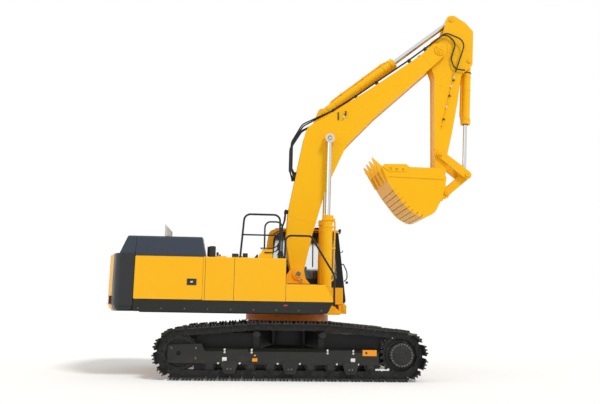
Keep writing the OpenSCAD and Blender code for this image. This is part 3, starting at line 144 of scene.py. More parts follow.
def edges(tree, radius):
    """How near a sharp edge is, within so many millimetres."""
    rounded = add(tree, "ShaderNodeBevel", {"Radius": radius / 1000}, samples=4)
    flat = add(tree, "ShaderNodeNewGeometry")
    turned = add(tree, "ShaderNodeVectorMath", {
        0: rounded.outputs[0], 1: flat.outputs["Normal"]}, operation="DOT_PRODUCT")
    return ramp(tree, turned.outputs["Value"], 0.995, 0.90)


def times(tree, a, b):
    return add(tree, "ShaderNodeMath", {0: a, 1: b}, operation="MULTIPLY").outputs[0]


def most(tree, a, b):
    return add(tree, "ShaderNodeMath", {0: a, 1: b}, operation="MAXIMUM").outputs[0]


def height(tree, place):
    return add(tree, "ShaderNodeSeparateXYZ", {0: place}).outputs[2]


def bump(tree, value, depth):
    """A bump so many millimetres deep."""
    return add(tree, "ShaderNodeBump", {
        "Height": value, "Distance": depth / 1000, "Strength": 1.0}).outputs[0]


def span(tree, place, axis, low, high):
    """1 between two places on an axis, in metres, with an edge 4 mm wide."""
    at = add(tree, "ShaderNodeSeparateXYZ", {0: place}).outputs[axis]
    after = ramp(tree, at, low - 0.002, low + 0.002)
    return times(tree, after, ramp(tree, at, high + 0.002, high - 0.002))


def seen(tree):
    """1 for what the camera sees, straight, mirrored or through glass, and 0 for light on surfaces."""
    rays = add(tree, "ShaderNodeLightPath").outputs
    return most(tree, most(tree, rays["Is Camera Ray"], rays["Is Glossy Ray"]), rays["Is Transmission Ray"])


# Finishes


def machine_enamel(name, paint, faded, dust, gloss=0.30, rim="#ffd34d", level=0.3, zones=None):
    """New two-pack enamel sprayed on plate: a soft gloss with orange peel, film that varies a little
    in thickness, a painted highlight in the rim colour along the edges, and a breath of dust near the ground."""
    material, tree, place = new_material(name)
    film = ramp(tree, noise(tree, place, 800), 0.36, 0.68)
    body = mix(tree, times(tree, film, 0.4), colour(paint), colour(faded))
    for tone, find in zones or []:
        body = mix(tree, find(tree, place), body, colour(tone))
    low = ramp(tree, height(tree, place), 0.55, 0.05)
    patch = ramp(tree, noise(tree, place, 140, detail=6), 0.42, 0.66)
    body = mix(tree, times(tree, times(tree, low, patch), 0.30), body, colour(dust))
    # Painted highlight: the rim colour, lighter than the paint, laid along the edges where light would catch
    # them
    edge_highlight = times(tree, edges(tree, 7), ramp(tree, noise(tree, place, 60, detail=4), 0.30, 0.60))
    body = mix(tree, times(tree, edge_highlight, 0.45), body, colour(rim))
    rough = ramp(tree, film, 0, 1, gloss, gloss + 0.08)
    peel = bump(tree, noise(tree, place, 9, detail=1), 0.10)
    finish_material(tree, {
        "Base Color": body, "Roughness": rough, "IOR": 1.5, "Normal": peel,
        "Specular IOR Level": level})
    return material


def forged_track_steel():
    """Heat-treated track steel under black paint, the grouser crests just rubbed through."""
    material, tree, place = new_material("forged_track_steel")
    film = ramp(tree, noise(tree, place, 70, detail=6), 0.44, 0.64)
    body = mix(tree, times(tree, film, 0.5), colour("#161616"), colour("#2a2a28"))
    rubbed = times(tree, edges(tree, 8), ramp(tree, noise(tree, place, 40), 0.38, 0.60))
    body = mix(tree, times(tree, rubbed, 0.5), body, colour("#77756f"))
    scale = bump(tree, noise(tree, place, 5, detail=4), 0.35)
    finish_material(tree, {
        "Base Color": body, "Metallic": 0.15, "Normal": scale,
        "Roughness": ramp(tree, rubbed, 0, 1, 0.55, 0.35)})
    return material


def hard_chrome():
    """Hard chrome ground to a mirror with a faint film of oil."""
    material, tree, place = new_material("hard_chrome")
    film = ramp(tree, noise(tree, place, 220), 0.35, 0.7, 0.12, 0.26)
    body = mix(tree, film, colour("#d9dcdf"), colour("#b9b4a6"))
    finish_material(tree, {"Base Color": body, "Metallic": 1.0, "Roughness": film})
    return material


def bare_steel(name, dark, light, rough):
    """Worn bare steel: rubbed bright on the edges, brown where water stands."""
    material, tree, place = new_material(name)
    rust = ramp(tree, noise(tree, place, 55, detail=6), 0.45, 0.66)
    body = mix(tree, times(tree, rust, 0.7), colour(light), colour(dark))
    body = mix(tree, times(tree, edges(tree, 5), 0.6), body, colour("#b5b1a8"))
    pits = bump(tree, noise(tree, place, 4, detail=4), 0.3)
    finish_material(tree, {
        "Base Color": body, "Metallic": 0.6, "Roughness": rough, "Normal": pits})
    return material


def hose_rubber():
    """Wire-braided hose with a satin black rubber cover, greyed by dust."""
    material, tree, place = new_material("hose_rubber")
    dust = ramp(tree, noise(tree, place, 90, detail=4), 0.45, 0.75)
    body = mix(tree, times(tree, dust, 0.5), colour("#191a1b"), colour("#4b4a46"))
    wrap = add(tree, "ShaderNodeTexWave", {"Vector": place, "Scale": per_mm(9) / 20}).outputs[1]
    finish_material(tree, {
        "Base Color": body, "Roughness": 0.62, "Normal": bump(tree, wrap, 0.15)})
    return material


def moulded_plastic(name, base, worn):
    """Polypropylene moulded with a fine grain, chalky where the sun reaches it."""
    material, tree, place = new_material(name)
    chalk = ramp(tree, noise(tree, place, 180), 0.40, 0.72)
    body = mix(tree, times(tree, chalk, 0.5), colour(base), colour(worn))
    grain = bump(tree, noise(tree, place, 2.5, detail=2), 0.2)
    finish_material(tree, {"Base Color": body, "Roughness": 0.55, "Normal": grain})
    return material


def woven_seat_cloth():
    """Woven polyester seat cloth, its threads drawn at 6 mm so that they show."""
    material, tree, place = new_material("woven_seat_cloth")
    weave = add(tree, "ShaderNodeTexChecker", {
        "Vector": place, "Scale": per_mm(6), "Color1": colour("#2b2c30"), "Color2": colour("#3a3b41")})
    finish_material(tree, {
        "Base Color": weave.outputs[0], "Roughness": 0.9, "Sheen Weight": 0.3,
        "Normal": bump(tree, weave.outputs[1], 0.6)})
    return material


def laminated_glass():
    """Clear laminated glass with a faint green body and a haze of dust."""
    material, tree, place = new_material("laminated_glass")
    haze = ramp(tree, noise(tree, place, 260), 0.35, 0.75, 0.02, 0.14)
    finish_material(tree, {
        "Base Color": colour("#dfe8e4"), "Roughness": haze, "IOR": 1.5,
        "Transmission Weight": 0.92, "Alpha": 0.62})
    return material


def bearing_primer():
    """Red-brown primer on the bearing, dark where grease has crept out of its seal."""
    material, tree, place = new_material("bearing_primer")
    grease = ramp(tree, noise(tree, place, 110, detail=5), 0.42, 0.62)
    body = mix(tree, grease, colour("#6b3d18"), colour("#2a2019"))
    finish_material(tree, {
        "Base Color": body, "Roughness": ramp(tree, grease, 0, 1, 0.65, 0.3), "Metallic": 0.2})
    return material


def aluminised_steel():
    """Aluminised exhaust tube, spangled and straw-coloured from the heat."""
    material, tree, place = new_material("aluminised_steel")
    spangle = add(tree, "ShaderNodeTexVoronoi", {"Vector": place, "Scale": per_mm(14)}).outputs[1]
    grey = add(tree, "ShaderNodeRGBToBW", {0: spangle}).outputs[0]
    hot = ramp(tree, height(tree, place), 2.55, 2.85)
    body = mix(tree, times(tree, grey, 0.35), colour("#c3c1ba"), colour("#97948b"))
    body = mix(tree, times(tree, hot, 0.25), body, colour("#a48d63"))
    finish_material(tree, {
        "Base Color": body, "Metallic": 0.75, "Roughness": ramp(tree, grey, 0, 1, 0.34, 0.5)})
    return material


def lens(name, tint):
    """Moulded acrylic lens, ribbed inside."""
    material, tree, place = new_material(name)
    ribs = add(tree, "ShaderNodeTexWave", {"Vector": place, "Scale": per_mm(10) / 20}).outputs[1]
    finish_material(tree, {
        "Base Color": colour(tint), "Roughness": 0.15, "IOR": 1.49, "Coat Weight": 0.6,
        "Normal": bump(tree, ribs, 0.5)})
    return material


def cab_window_band(tree, place):
    """The cab's black zone round its windows, with a round upper rear corner."""
    at = add(tree, "ShaderNodeSeparateXYZ", {0: place}).outputs
    corner = 0.22
    back = ramp(tree, at[0], -0.31, -0.31 + corner, corner, 0)
    above = ramp(tree, at[2], 2.965 - corner, 2.965, 0, corner)
    both = add(tree, "ShaderNodeCombineXYZ", {0: back, 1: above}).outputs[0]
    reach = add(tree, "ShaderNodeVectorMath", {0: both}, operation="LENGTH").outputs["Value"]
    zone = times(tree, ramp(tree, reach, corner, corner - 0.004), ramp(tree, at[2], 1.760, 1.764))
    return most(tree, times(tree, zone, ramp(tree, at[2], 2.967, 2.963)), ramp(tree, at[0], 1.240, 1.244))


def race_shade_band(tree, place):
    """The race under the deck, painted a darker orange than the deck's yellow as painted shade under the
    deck.
    """
    return ramp(tree, height(tree, place), 1.186, 1.182)


def skirt_shadow_edge(tree, place):
    """The floor plate's edge below the skirts, painted dark as the shadow under the skirts."""
    return times(tree, span(tree, place, 2, 1.186, 1.216), span(tree, place, 0, -4, 0.7))


def rear_face(tree, place):
    """The bowed rear face of the counterweight."""
    return span(tree, place, 0, -4, -3.35)


# Each rim colour below is the painted highlight along that enamel's edges
house_yellow = machine_enamel(
    "house_enamel_yellow", "#f9b618", "#f6b924", "#c39a3c", level=0.2,
    # Zone colours: #1f201e is a painted shadow below the skirts, #e07812 is painted shade on the race
    zones=[("#1f201e", skirt_shadow_edge), ("#e07812", race_shade_band)])
cab_enamel = machine_enamel(
    "cab_enamel", "#f9b618", "#f6b924", "#c39a3c", level=0.2, zones=[("#1b1c1d", cab_window_band)])
gear_yellow = machine_enamel("gear_enamel_yellow", "#f9b916", "#f6bc22", "#c39a3c", level=0.12)
slate_enamel = machine_enamel("slate_enamel", "#343b47", "#3a414d", "#77705f", rim="#5d6675")
charcoal_enamel = machine_enamel(
    "charcoal_enamel", "#1f201e", "#252623", "#756d5e", gloss=0.36, rim="#474946")
rear_enamel = machine_enamel(
    "counterweight_enamel", "#2a2b2d", "#313234", "#756d5e", gloss=0.36, rim="#54585a",
    zones=[("#f9b618", rear_face)])
frame_enamel = machine_enamel(
    "track_frame_enamel", "#22221f", "#2a2a27", "#5b574e", gloss=0.30, rim="#4a4a46")
pipe_enamel = machine_enamel("pipe_enamel_black", "#161718", "#202122", "#4b4a46", gloss=0.4, rim="#3b3d3f")
track_steel = forged_track_steel()
chrome = hard_chrome()
pin_steel = bare_steel("pin_steel", "#4b3a2c", "#8b8880", 0.40)
# Rust stain on the side cutter's rings. In the bucket's grooves the same finish is painted shade
rust_and_groove_shade_steel = bare_steel("rust_stain_and_groove_shade_steel", "#3b1c0d", "#6a3413", 0.6)
zinc_steel = bare_steel("zinc_plated_steel", "#a8a498", "#d8d7d0", 0.35)
bolt_steel = bare_steel("bolt_steel", "#2b2825", "#4c4a46", 0.45)
rubber = hose_rubber()
black_plastic = moulded_plastic("black_polypropylene", "#17181a", "#27282b")
white_plastic = moulded_plastic("white_label_film", "#eceae4", "#d9d6cd")
orange_film = machine_enamel("orange_label_film", "#f39a1c", "#ee9d2a", "#c39a3c", gloss=0.45)
seat_cloth = woven_seat_cloth()
glass = laminated_glass()
primer = bearing_primer()
stack_steel = aluminised_steel()
clear_lens = lens("clear_acrylic", "#d8dcdc")
red_lens = lens("red_acrylic", "#c8271f")

NODE_FINISH = {
    house_yellow: [
        "upper_frame", "bay_walls", "tank_body", "left_housing", "toolbox", "cab_roof",
        "service_door_right", "service_door_left"],
    cab_enamel: ["cab_shell", "cab_door"],
    gear_yellow: [
        "boom", "arm", "bucket", "bucket_teeth", "boom_cylinder_barrels", "arm_cylinder_barrel",
        "bucket_cylinder_barrel", "guide_links", "bucket_link"],
    slate_enamel: ["rear_cover", "engine_hood"],
    charcoal_enamel: ["side_skirts", "engine_block"],
    rear_enamel: ["counterweight"],
    frame_enamel: ["track_frame_right", "track_frame_left"],
    track_steel: [
        "track_right", "track_left", "rollers_right", "rollers_left", "idler_right", "idler_left",
        "sprocket_right", "sprocket_left"],
    chrome: ["boom_cylinder_rods", "arm_cylinder_rod", "bucket_cylinder_rod"],
    pipe_enamel: ["handrails", "boom_pipes", "car_body"],
    black_plastic: ["toolbox_lid", "cab_console"],
    seat_cloth: ["cab_seat"],
    glass: ["cab_glass"],
    primer: ["slew_ring"],
    stack_steel: ["exhaust"],
}
for finish, names in NODE_FINISH.items():
    for name in names:
        held = nodes[name].data.materials
        held.clear()
        held.append(finish)

# Shape helpers: every piece is one mesh at the origin, in metres


def mm(*values):
    return Vector(values) / 1000


def skin(bm, rings):
    """Joins a row of rings with side faces and closes both ends."""
    made = [bm.faces.new(rings[0]), bm.faces.new(rings[-1])]
    for low, high in zip(rings, rings[1:]):
        count = len(low)
        for k in range(count):
            n = (k + 1) % count
            made.append(bm.faces.new((low[k], low[n], high[n], high[k])))
    bmesh.ops.recalc_face_normals(bm, faces=made)
    return made


def circle(bm, centre, ahead, side, radius, sides):
    """A ring of vertices round an axis, with its first vertex towards side."""
    other = ahead.cross(side)
    made = []
    for k in range(sides):
        a = 2 * math.pi * k / sides
        made.append(bm.verts.new((centre + (side * math.cos(a) + other * math.sin(a)) * radius) / 1000))
    return made


def block(bm, low, high):
    """A box between two corners, in millimetres."""
    low, high = mm(*low), mm(*high)
    for v in bmesh.ops.create_cube(bm, size=1)["verts"]:
        v.co = (low + high) / 2 + Vector(v.co[i] * (high[i] - low[i]) for i in range(3))


def slab(bm, outline, y_low, y_high):
    """A side outline of [x, z] in millimetres that fills y_low to y_high."""
    skin(bm, [[bm.verts.new(mm(x, y, z)) for x, z in outline] for y in (y_low, y_high)])


def turned(bm, start, end, rows, sides=32):
    """A solid turned about the line from start towards end: rows of [distance, radius], millimetres."""
    start = Vector(start)
    ahead = (Vector(end) - start).normalized()
    side = ahead.orthogonal().normalized()
    return skin(bm, [circle(bm, start + ahead * s, ahead, side, r, sides) for s, r in rows])


def boss(bm, at, y, rows, sides=32):
    """A form turned about an axis along -Y through [x, z], from y outwards."""
    turned(bm, (at[0], y, at[1]), (at[0], y - 1, at[1]), rows, sides)


def rounded(points, radius, steps=5):
    """A path of points in millimetres with its corners rounded off."""
    path = [Vector(p) for p in points]
    made = [path[0]]
    for before, at, after in zip(path, path[1:], path[2:]):
        back, on = (before - at), (after - at)
        reach = min(radius, back.length * 0.45, on.length * 0.45)
        a, b = at + back.normalized() * reach, at + on.normalized() * reach
        for k in range(steps + 1):
            t = k / steps
            made.append(a * (1 - t) ** 2 + at * 2 * t * (1 - t) + b * t ** 2)
    made.append(path[-1])
    return made


def tube(bm, points, radius, sides=12):
    """A round tube along a path in millimetres, closed at both ends."""
    path = [Vector(p) for p in points]
    rings = []
    side = None
    for i, at in enumerate(path):
        ahead = (path[min(i + 1, len(path) - 1)] - path[max(i - 1, 0)]).normalized()
        side = ahead.orthogonal() if side is None else side - ahead * side.dot(ahead)
        side.normalize()
        rings.append(circle(bm, at, ahead, side, radius, sides))
    skin(bm, rings)


def bent(bm, points, bend, radius, sides=10):
    """A tube with bends at its corners."""
    tube(bm, rounded(points, bend), radius, sides)


def both_sides(bm):
    """Mirrors everything to the other side of the centre plane."""
    faces = list(bm.faces)
    copy = {v: bm.verts.new((v.co.x, -v.co.y, v.co.z)) for v in list(bm.verts)}
    for f in faces:
        bm.faces.new([copy[v] for v in reversed(f.verts)])


def piece(name, body, finish, bm, bevel):
    """Finishes a mesh as a piece that rides on a body, its edges broken by bevel millimetres."""
    mesh = bpy.data.meshes.new(name)
    bm.normal_update()
    bm.to_mesh(mesh)
    bm.free()
    mesh.materials.append(finish)
    made = placed(name, mesh)
    mesh.shade_smooth()
    mesh.set_sharp_from_angle(angle=math.radians(30))
    if bevel:
        rim = made.modifiers.new("broken_edges", "BEVEL")
        rim.width = bevel / 1000
        rim.segments = 2
        rim.limit_method = "ANGLE"
        rim.angle_limit = math.radians(40)
    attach(made, body)


# What repeats is placed by Geometry Nodes


def new_tree(name, numbers):
    """A tree with a geometry input, an object to repeat, a finish, and named number inputs."""
    tree = bpy.data.node_groups.new(name, "GeometryNodeTree")
    face = tree.interface
    face.new_socket("Geometry", in_out="INPUT", socket_type="NodeSocketGeometry")
    face.new_socket("Repeated piece", in_out="INPUT", socket_type="NodeSocketObject")
    face.new_socket("Finish", in_out="INPUT", socket_type="NodeSocketMaterial")
    for label, kind in numbers:
        face.new_socket(label, in_out="INPUT", socket_type=kind)
    face.new_socket("Geometry", in_out="OUTPUT", socket_type="NodeSocketGeometry")
    start = add(tree, "NodeGroupInput")
    info = add(tree, "GeometryNodeObjectInfo", {"Object": start.outputs["Repeated piece"]})
    return tree, start, info.outputs["Geometry"]


def end_tree(tree, start, instances):
    real = add(tree, "GeometryNodeRealizeInstances", {0: instances})
    painted = add(tree, "GeometryNodeSetMaterial", {
        "Geometry": real.outputs[0], "Material": start.outputs["Finish"]})
    add(tree, "NodeGroupOutput", {0: painted.outputs[0]})


def shoes_tree():
    """Copies of one shoe at even steps round the chain's loop, each turned to its direction."""
    tree, start, shoe = new_tree("shoes_round_the_loop", [("Shoes", "NodeSocketInt")])
    points = add(tree, "GeometryNodeCurveToPoints", {
        "Curve": start.outputs["Geometry"], "Count": start.outputs["Shoes"]}, mode="COUNT")
    turn = add(tree, "FunctionNodeAlignRotationToVector", {
        "Vector": points.outputs["Tangent"]}, axis="X", pivot_axis="Y")
    copies = add(tree, "GeometryNodeInstanceOnPoints", {
        "Points": points.outputs["Points"], "Instance": shoe, "Rotation": turn.outputs[0]})
    end_tree(tree, start, copies.outputs[0])
    return tree


def spots_tree():
    """Copies of one fastener on every point, their heads towards the way they face."""
    tree, start, fastener = new_tree("fasteners_on_spots", [
        ("Facing", "NodeSocketVector"), ("Size", "NodeSocketFloat")])
    turn = add(tree, "FunctionNodeAlignRotationToVector", {
        "Vector": start.outputs["Facing"]}, axis="Z")
    copies = add(tree, "GeometryNodeInstanceOnPoints", {
        "Points": start.outputs["Geometry"], "Instance": fastener, "Rotation": turn.outputs[0],
        "Scale": start.outputs["Size"]})
    end_tree(tree, start, copies.outputs[0])
    return tree


SHOES = shoes_tree()
SPOTS = spots_tree()


def hidden(name, bm):
    """A mesh that only the node trees use."""
    mesh = bpy.data.meshes.new(name)
    bm.to_mesh(mesh)
    bm.free()
    return bpy.data.objects.new(name, mesh)


def repeat(name, host_data, tree, values, body):
    """Runs a tree on a host and keeps the result as a plain mesh piece."""
    host = placed(name + "_host", host_data)
    run = host.modifiers.new("repeat", "NODES")
    run.node_group = tree
    for socket in tree.interface.items_tree:
        if socket.in_out == "INPUT" and socket.name in values:
            run[socket.identifier] = values[socket.name]
    bpy.context.view_layer.update()
    depsgraph = bpy.context.evaluated_depsgraph_get()
    mesh = bpy.data.meshes.new_from_object(host.evaluated_get(depsgraph))
    bpy.data.objects.remove(host)
    mesh.name = name
    made = placed(name, mesh)
    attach(made, body)
    return made


def hex_bolt():
    """A hexagon head on its washer, 30 mm across the flats, head along +Z."""
    bm = bmesh.new()
    turned(bm, (0, 0, 0), (0, 0, 20), [(0, 21), (3, 21), (4, 19)], sides=12)
    turned(bm, (0, 0, 3), (0, 0, 20), [(0, 17.3), (12, 17.3), (14, 14)], sides=6)
    return hidden("hex_bolt", bm)


BOLT = hex_bolt()


def bolts(name, body, spots, facing, size=1.0, finish=bolt_steel):
    """Bolts at spots in millimetres, heads towards facing."""
    mesh = bpy.data.meshes.new(name + "_spots")
    mesh.from_pydata([mm(*s) for s in spots], [], [])
    repeat(name, mesh, SPOTS, {
        "Repeated piece": BOLT, "Finish": finish, "Facing": facing, "Size": size}, body)


def ring(centre, radius, count, axis, start=0.0):
    """Spots round a circle about an axis along Y, or else along Z."""
    made = []
    for k in range(count):
        a = 2 * math.pi * (k + start) / count
        across, along = radius * math.cos(a), radius * math.sin(a)
        offset = (across, 0, along) if axis == "Y" else (across, along, 0)
        made.append(tuple(c + o for c, o in zip(centre, offset)))
    return made


# Tracks: shoes with three grousers, bolted to pairs of forged links

CHAIN_RADIUS = 360
SHOE_COUNT = 48
SHOE_WIDTH = 600
LINK_HIGH = 55
LINK_DEEP = 60
SHOE_THICK = 20
GROUSER_HIGH = 35
CARRIER_RUN_Z = 952
CARRIER_X = (-628, 596)
WHEEL_BASE = 4090
LINK_OFFSET = 67.5


def middle(name):
    low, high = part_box(name)
    return (low + high) * 500


def chain_loop(side):
    """The chain's pitch line, in millimetres, from under the drive over the carriers to the idler."""
    axle = middle("idler_" + side)
    front, rear = Vector((axle.x + WHEEL_BASE, axle.z)), Vector((axle.x, axle.z))
    carriers = [Vector((x, CARRIER_RUN_Z)) for x in reversed(CARRIER_X)]

    def leave(wheel, to, sign):
        d = to - wheel
        return math.atan2(d.y, d.x) + sign * math.acos(CHAIN_RADIUS / d.length)

    def arc(wheel, start, end, steps=28):
        turns = [start + (end - start) * k / steps for k in range(steps + 1)]
        return [wheel + Vector((math.cos(a), math.sin(a))) * CHAIN_RADIUS for a in turns]

    path = arc(front, -math.pi / 2, leave(front, carriers[0], -1)) + carriers
    path += arc(rear, leave(rear, carriers[1], 1), 3 * math.pi / 2)
    return [Vector((p.x, axle.y, p.y)) for p in path]


def loop_length(points):
    return sum((b - a).length for a, b in zip(points, points[1:] + points[:1]))


def track_shoe(pitch):
    """One shoe and its pair of links, outward along -Z, its middle at the origin."""
    bm = bmesh.new()
    plate, top = -LINK_HIGH, -LINK_HIGH - SHOE_THICK
    crest = top - GROUSER_HIGH
    half = pitch / 2 - 3
    third = pitch / 3
    section = [(-half, plate), (half - 8, plate), (half, plate + 8), (half, plate + 14), (half - 14, top)]
    for k in (1, 0, -1):
        x = k * third * 0.86
        section += [(x + 15, top), (x + 9, crest), (x - 9, crest), (x - 15, top)]
    section += [(-half, top)]
    slab(bm, section, -SHOE_WIDTH / 2, SHOE_WIDTH / 2)
    for side in (-1, 1):
        # A forged link: its ends step from the inner to the outer line at the pins
        link = [
            (-half - 16, -LINK_DEEP * 0.3), (-half + 6, plate),
            (half - 6, plate), (half + 16, -LINK_DEEP * 0.3),
            (half + 14, LINK_DEEP * 0.45), (half - 12, LINK_DEEP),
            (-half + 12, LINK_DEEP), (-half - 14, LINK_DEEP * 0.45)]
        slab(bm, link, side * LINK_OFFSET - 17, side * LINK_OFFSET + 17)
        turned(bm, (half + 3, side * 46, 0), (half + 3, side * 98, 0), [(0, 34), (52, 34)], sides=14)
        for x in (-32, 32):
            y = side * 67
            turned(bm, (x, y, top + 1), (x, y, top - 18), [(0, 20), (12, 20), (14, 16)], sides=6)
    return hidden("track_shoe", bm)


def tracks():
    for side in ("right", "left"):
        points = chain_loop(side)
        pitch = loop_length(points) / SHOE_COUNT
        line = bpy.data.curves.new("chain_line_" + side, "CURVE")
        line.dimensions = "3D"
        spline = line.splines.new("POLY")
        spline.points.add(len(points) - 1)
        for p, at in zip(spline.points, points):
            p.co = (*mm(*at), 1)
        spline.use_cyclic_u = True
        shoe = track_shoe(pitch)
        made = repeat("track_chain_" + side, line, SHOES, {
            "Repeated piece": shoe, "Finish": track_steel, "Shoes": SHOE_COUNT},
            "undercarriage")
        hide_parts("track_" + side)


tracks()

# Floor and light


def floor():
    """A plain pale floor that keeps the shadow and shows white to the camera and in reflections."""
    reach = 500
    mesh = bpy.data.meshes.new("floor")
    mesh.from_pydata([(-reach, -reach, 0), (reach, -reach, 0), (reach, reach, 0), (-reach, reach, 0)], [],
                     [(0, 1, 2, 3)])
    material = bpy.data.materials.new("pale_floor")
    material.use_nodes = True
    tree = material.node_tree
    tree.nodes.clear()
    matte = add(tree, "ShaderNodeBsdfDiffuse", {"Color": colour("#f4f4f2")})
    lift = add(tree, "ShaderNodeEmission", {
        "Color": colour("#ffffff"), "Strength": times(tree, seen(tree), 0.14)})
    both = add(tree, "ShaderNodeAddShader", {0: matte.outputs[0], 1: lift.outputs[0]})
    add(tree, "ShaderNodeOutputMaterial", {"Surface": both.outputs[0]})
    mesh.materials.append(material)
    placed("floor", mesh)


def light():
    """An even pale sky, a soft sun high on the camera's right and a broad fill from the left."""
    world = bpy.data.worlds.new("studio")
    bpy.context.scene.world = world
    world.use_nodes = True
    tree = world.node_tree
    tree.nodes.clear()
    strength = ramp(tree, seen(tree), 0, 1, 0.53, 1.0)
    sky = add(tree, "ShaderNodeBackground", {"Color": colour("#ffffff"), "Strength": strength})
    add(tree, "ShaderNodeOutputWorld", {"Surface": sky.outputs[0]})
    for name, energy, angle, way in (("soft_sun", 1.62, 14, (-0.45, 0.62, -0.85)),
                                     ("left_fill", 0.85, 70, (0.95, 0.25, -0.22))):
        sun = bpy.data.lights.new(name, "SUN")
        sun.energy = energy
        sun.angle = math.radians(angle)
        placed(name, sun).rotation_euler = Vector(way).to_track_quat("-Z", "Y").to_euler()


floor()
light()

# Fittings: each builder fills a mesh, mirrored to the left side where the machine is alike


def build(name, body, finish, fill, bevel=0.0, mirror=False):
    bm = bmesh.new()
    fill(bm)
    if mirror:
        both_sides(bm)
    piece(name, body, finish, bm, bevel)


def boxes(*corners):
    """A builder that makes boxes, each between two corners in millimetres."""
    return lambda bm: [block(bm, low, high) for low, high in corners]


def bolts_both(name, body, spots, size=1.0, finish=bolt_steel):
    """Bolts on the right flank, heads towards -Y, and the same on the left."""
    for side, label in ((1, "right"), (-1, "left")):
        bolts(name + "_" + label, body, [(x, side * y, z) for x, y, z in spots], (0, -side, 0), size, finish)


def towards(start, end, distance, across=0.0):
    """A point in the X-Z plane, so far from start towards end and so far to the left of that line."""
    start, end = Vector(start), Vector(end)
    ahead = (end - start).normalized()
    return start + ahead * distance + Vector((-ahead.y, ahead.x)) * across


def at_y(y, path):
    """A path of [x, z] set at one y."""
    return [(x, y, z) for x, z in path]


def arc_at(centre, y, radius, first, count):
    """Points at one y round [x, z], 0.16 radians apart."""
    turns = [first + 0.16 * k for k in range(count)]
    return [(centre[0] + radius * math.cos(a), y, centre[1] + radius * math.sin(a)) for a in turns]


def even(x, half):
    """A closed outline that is alike on both sides of x, from rows of [half width, z]."""
    return [(x - d, z) for d, z in half] + [(x + d, z) for d, z in reversed(half)]


FLANK = -1470
FRAME_FACE = -1475
GUARD_X = (-1113, -7, 1107)
SPROCKET = (2065, 470)
DECK_TOP = 2224
CAB_WALL = 518
BOOM_SIDE = -270
ARM_SIDE = -175
BUCKET_SIDE = -582
WELD = 3.5
BOOM_FOOT = (200, 2000)
ARM_PIN = (3296, 7038)
BOOM_CYL = ((764, 1560), (818, 4868))
BOOM_CYL_Y = 395
ARM_CYL = ((722, 5519), (3590, 7815))
BUCKET_CYL = ((3977, 6845), (3840, 4213))
BUCKET_PIN = (3250, 4235)
GUIDE_PIN = (3262, 4660)
LINK_PIN = (3365, 3800)
CUTTER_HOLES = ((2078, 4211), (2204, 4199), (2342, 4199))

# Undercarriage


def frame_guards(bm):
    """Track guards: plates bent under the rollers, each with a pad."""
    for x in GUARD_X:
        slab(bm, even(x, [(138, 300), (138, 255), (100, 150), (84, 112)]), FRAME_FACE - 16, FRAME_FACE - 1)
        block(bm, (x - 60, FRAME_FACE - 30, 170), (x + 60, FRAME_FACE - 14, 235))


def roller_collars(bm):
    """Collars that hold the ends of the bottom rollers."""
    for x in range(-1464, 1481, 368):
        slab(bm, even(x, [(62, 284), (62, 225), (34, 196)]), FRAME_FACE + 3, FRAME_FACE + 40)
        boss(bm, (x, 238), FRAME_FACE + 3, [(0, 24), (9, 24), (13, 19)], 20)


def drive_cover(bm):
    """Rings and plugs on the final drive's cover."""
    x, z = SPROCKET
    boss(bm, SPROCKET, -1487, [(0, 152), (6, 152), (9, 146), (9, 0.5)], 56)
    boss(bm, SPROCKET, -1493, [(0, 60), (8, 60), (11, 52), (11, 0.5)])
    for a in (0.6, 2.7, 4.8):
        boss(bm, (x + 105 * math.cos(a), z + 105 * math.sin(a)), -1494, [(0, 17), (10, 17), (13, 12)], 6)


def carrier_caps(bm):
    for x in CARRIER_X:
        boss(bm, (x, 817), -1466, [(-60, 62), (0, 62), (6, 56), (6, 30), (12, 28), (12, 0.5)], 36)


build("track_guards", "undercarriage", track_steel, frame_guards, 3, True)
build("frame_covers", "undercarriage", frame_enamel, boxes(
    ((-1177, FRAME_FACE - 5, 452), (-775, FRAME_FACE + 1, 545)),
    ((716, FRAME_FACE - 5, 452), (1124, FRAME_FACE + 1, 545)),
    ((-1560, FRAME_FACE - 7, 318), (1600, FRAME_FACE + 1, 330))), 2, True)
build("roller_collars", "undercarriage", track_steel, roller_collars, 3, True)
build("drive_covers", "undercarriage", frame_enamel, drive_cover, 1.5, True)
build("carrier_caps", "undercarriage", frame_enamel, carrier_caps, 1.5, True)
bolts_both("drive_bolts", "undercarriage", ring((SPROCKET[0], -1483, SPROCKET[1]), 196, 24, "Y"), 0.8)
bolts_both("idler_bolts", "undercarriage", at_y(-1478, [(-2160, 560), (-1720, 560), (-1720, 380)]), 0.9)
bolts_both("frame_rim_bolts", "undercarriage", at_y(
    FRAME_FACE - 1, [(x, 300) for x in (-1315, -923, -232, 172, 852, 1250)]), 0.9, zinc_steel)
bolts_both("guard_bolts", "undercarriage", at_y(
    FRAME_FACE - 30, [(x + d, 202) for x in GUARD_X for d in (-30, 30)]), 0.8)
bolts_both("frame_plug_bolts", "undercarriage", at_y(
    FRAME_FACE - 1, [(x, z) for x in (-1202, -712, 681, 1158) for z in (493, 540)]), 0.95, zinc_steel)
bolts("bearing_bolts", "undercarriage", ring((0, 0, 1041), 905, 36, "Z"), (0, 0, 1), 0.9)

# Blank labels where the machine carries words
build("blank_frame_labels", "undercarriage", white_plastic, boxes(
    ((-1240, FRAME_FACE - 3, 318), (-1160, FRAME_FACE, 408)),
    ((1112, FRAME_FACE - 3, 318), (1192, FRAME_FACE, 408))), 2, True)
build("blank_frame_plates", "undercarriage", orange_film, boxes(
    ((-698, FRAME_FACE - 3, 334), (-604, FRAME_FACE, 392)),
    ((-668, FRAME_FACE - 3, 430), (-632, FRAME_FACE, 456)),
    ((1331, FRAME_FACE - 6, 454), (1592, FRAME_FACE, 562))), 2, True)
build("grease_hole_cap", "undercarriage", black_plastic,
      lambda bm: boss(bm, (1400, 508), FRAME_FACE - 5, [(0, 20), (4, 20)], 24), 0, True)

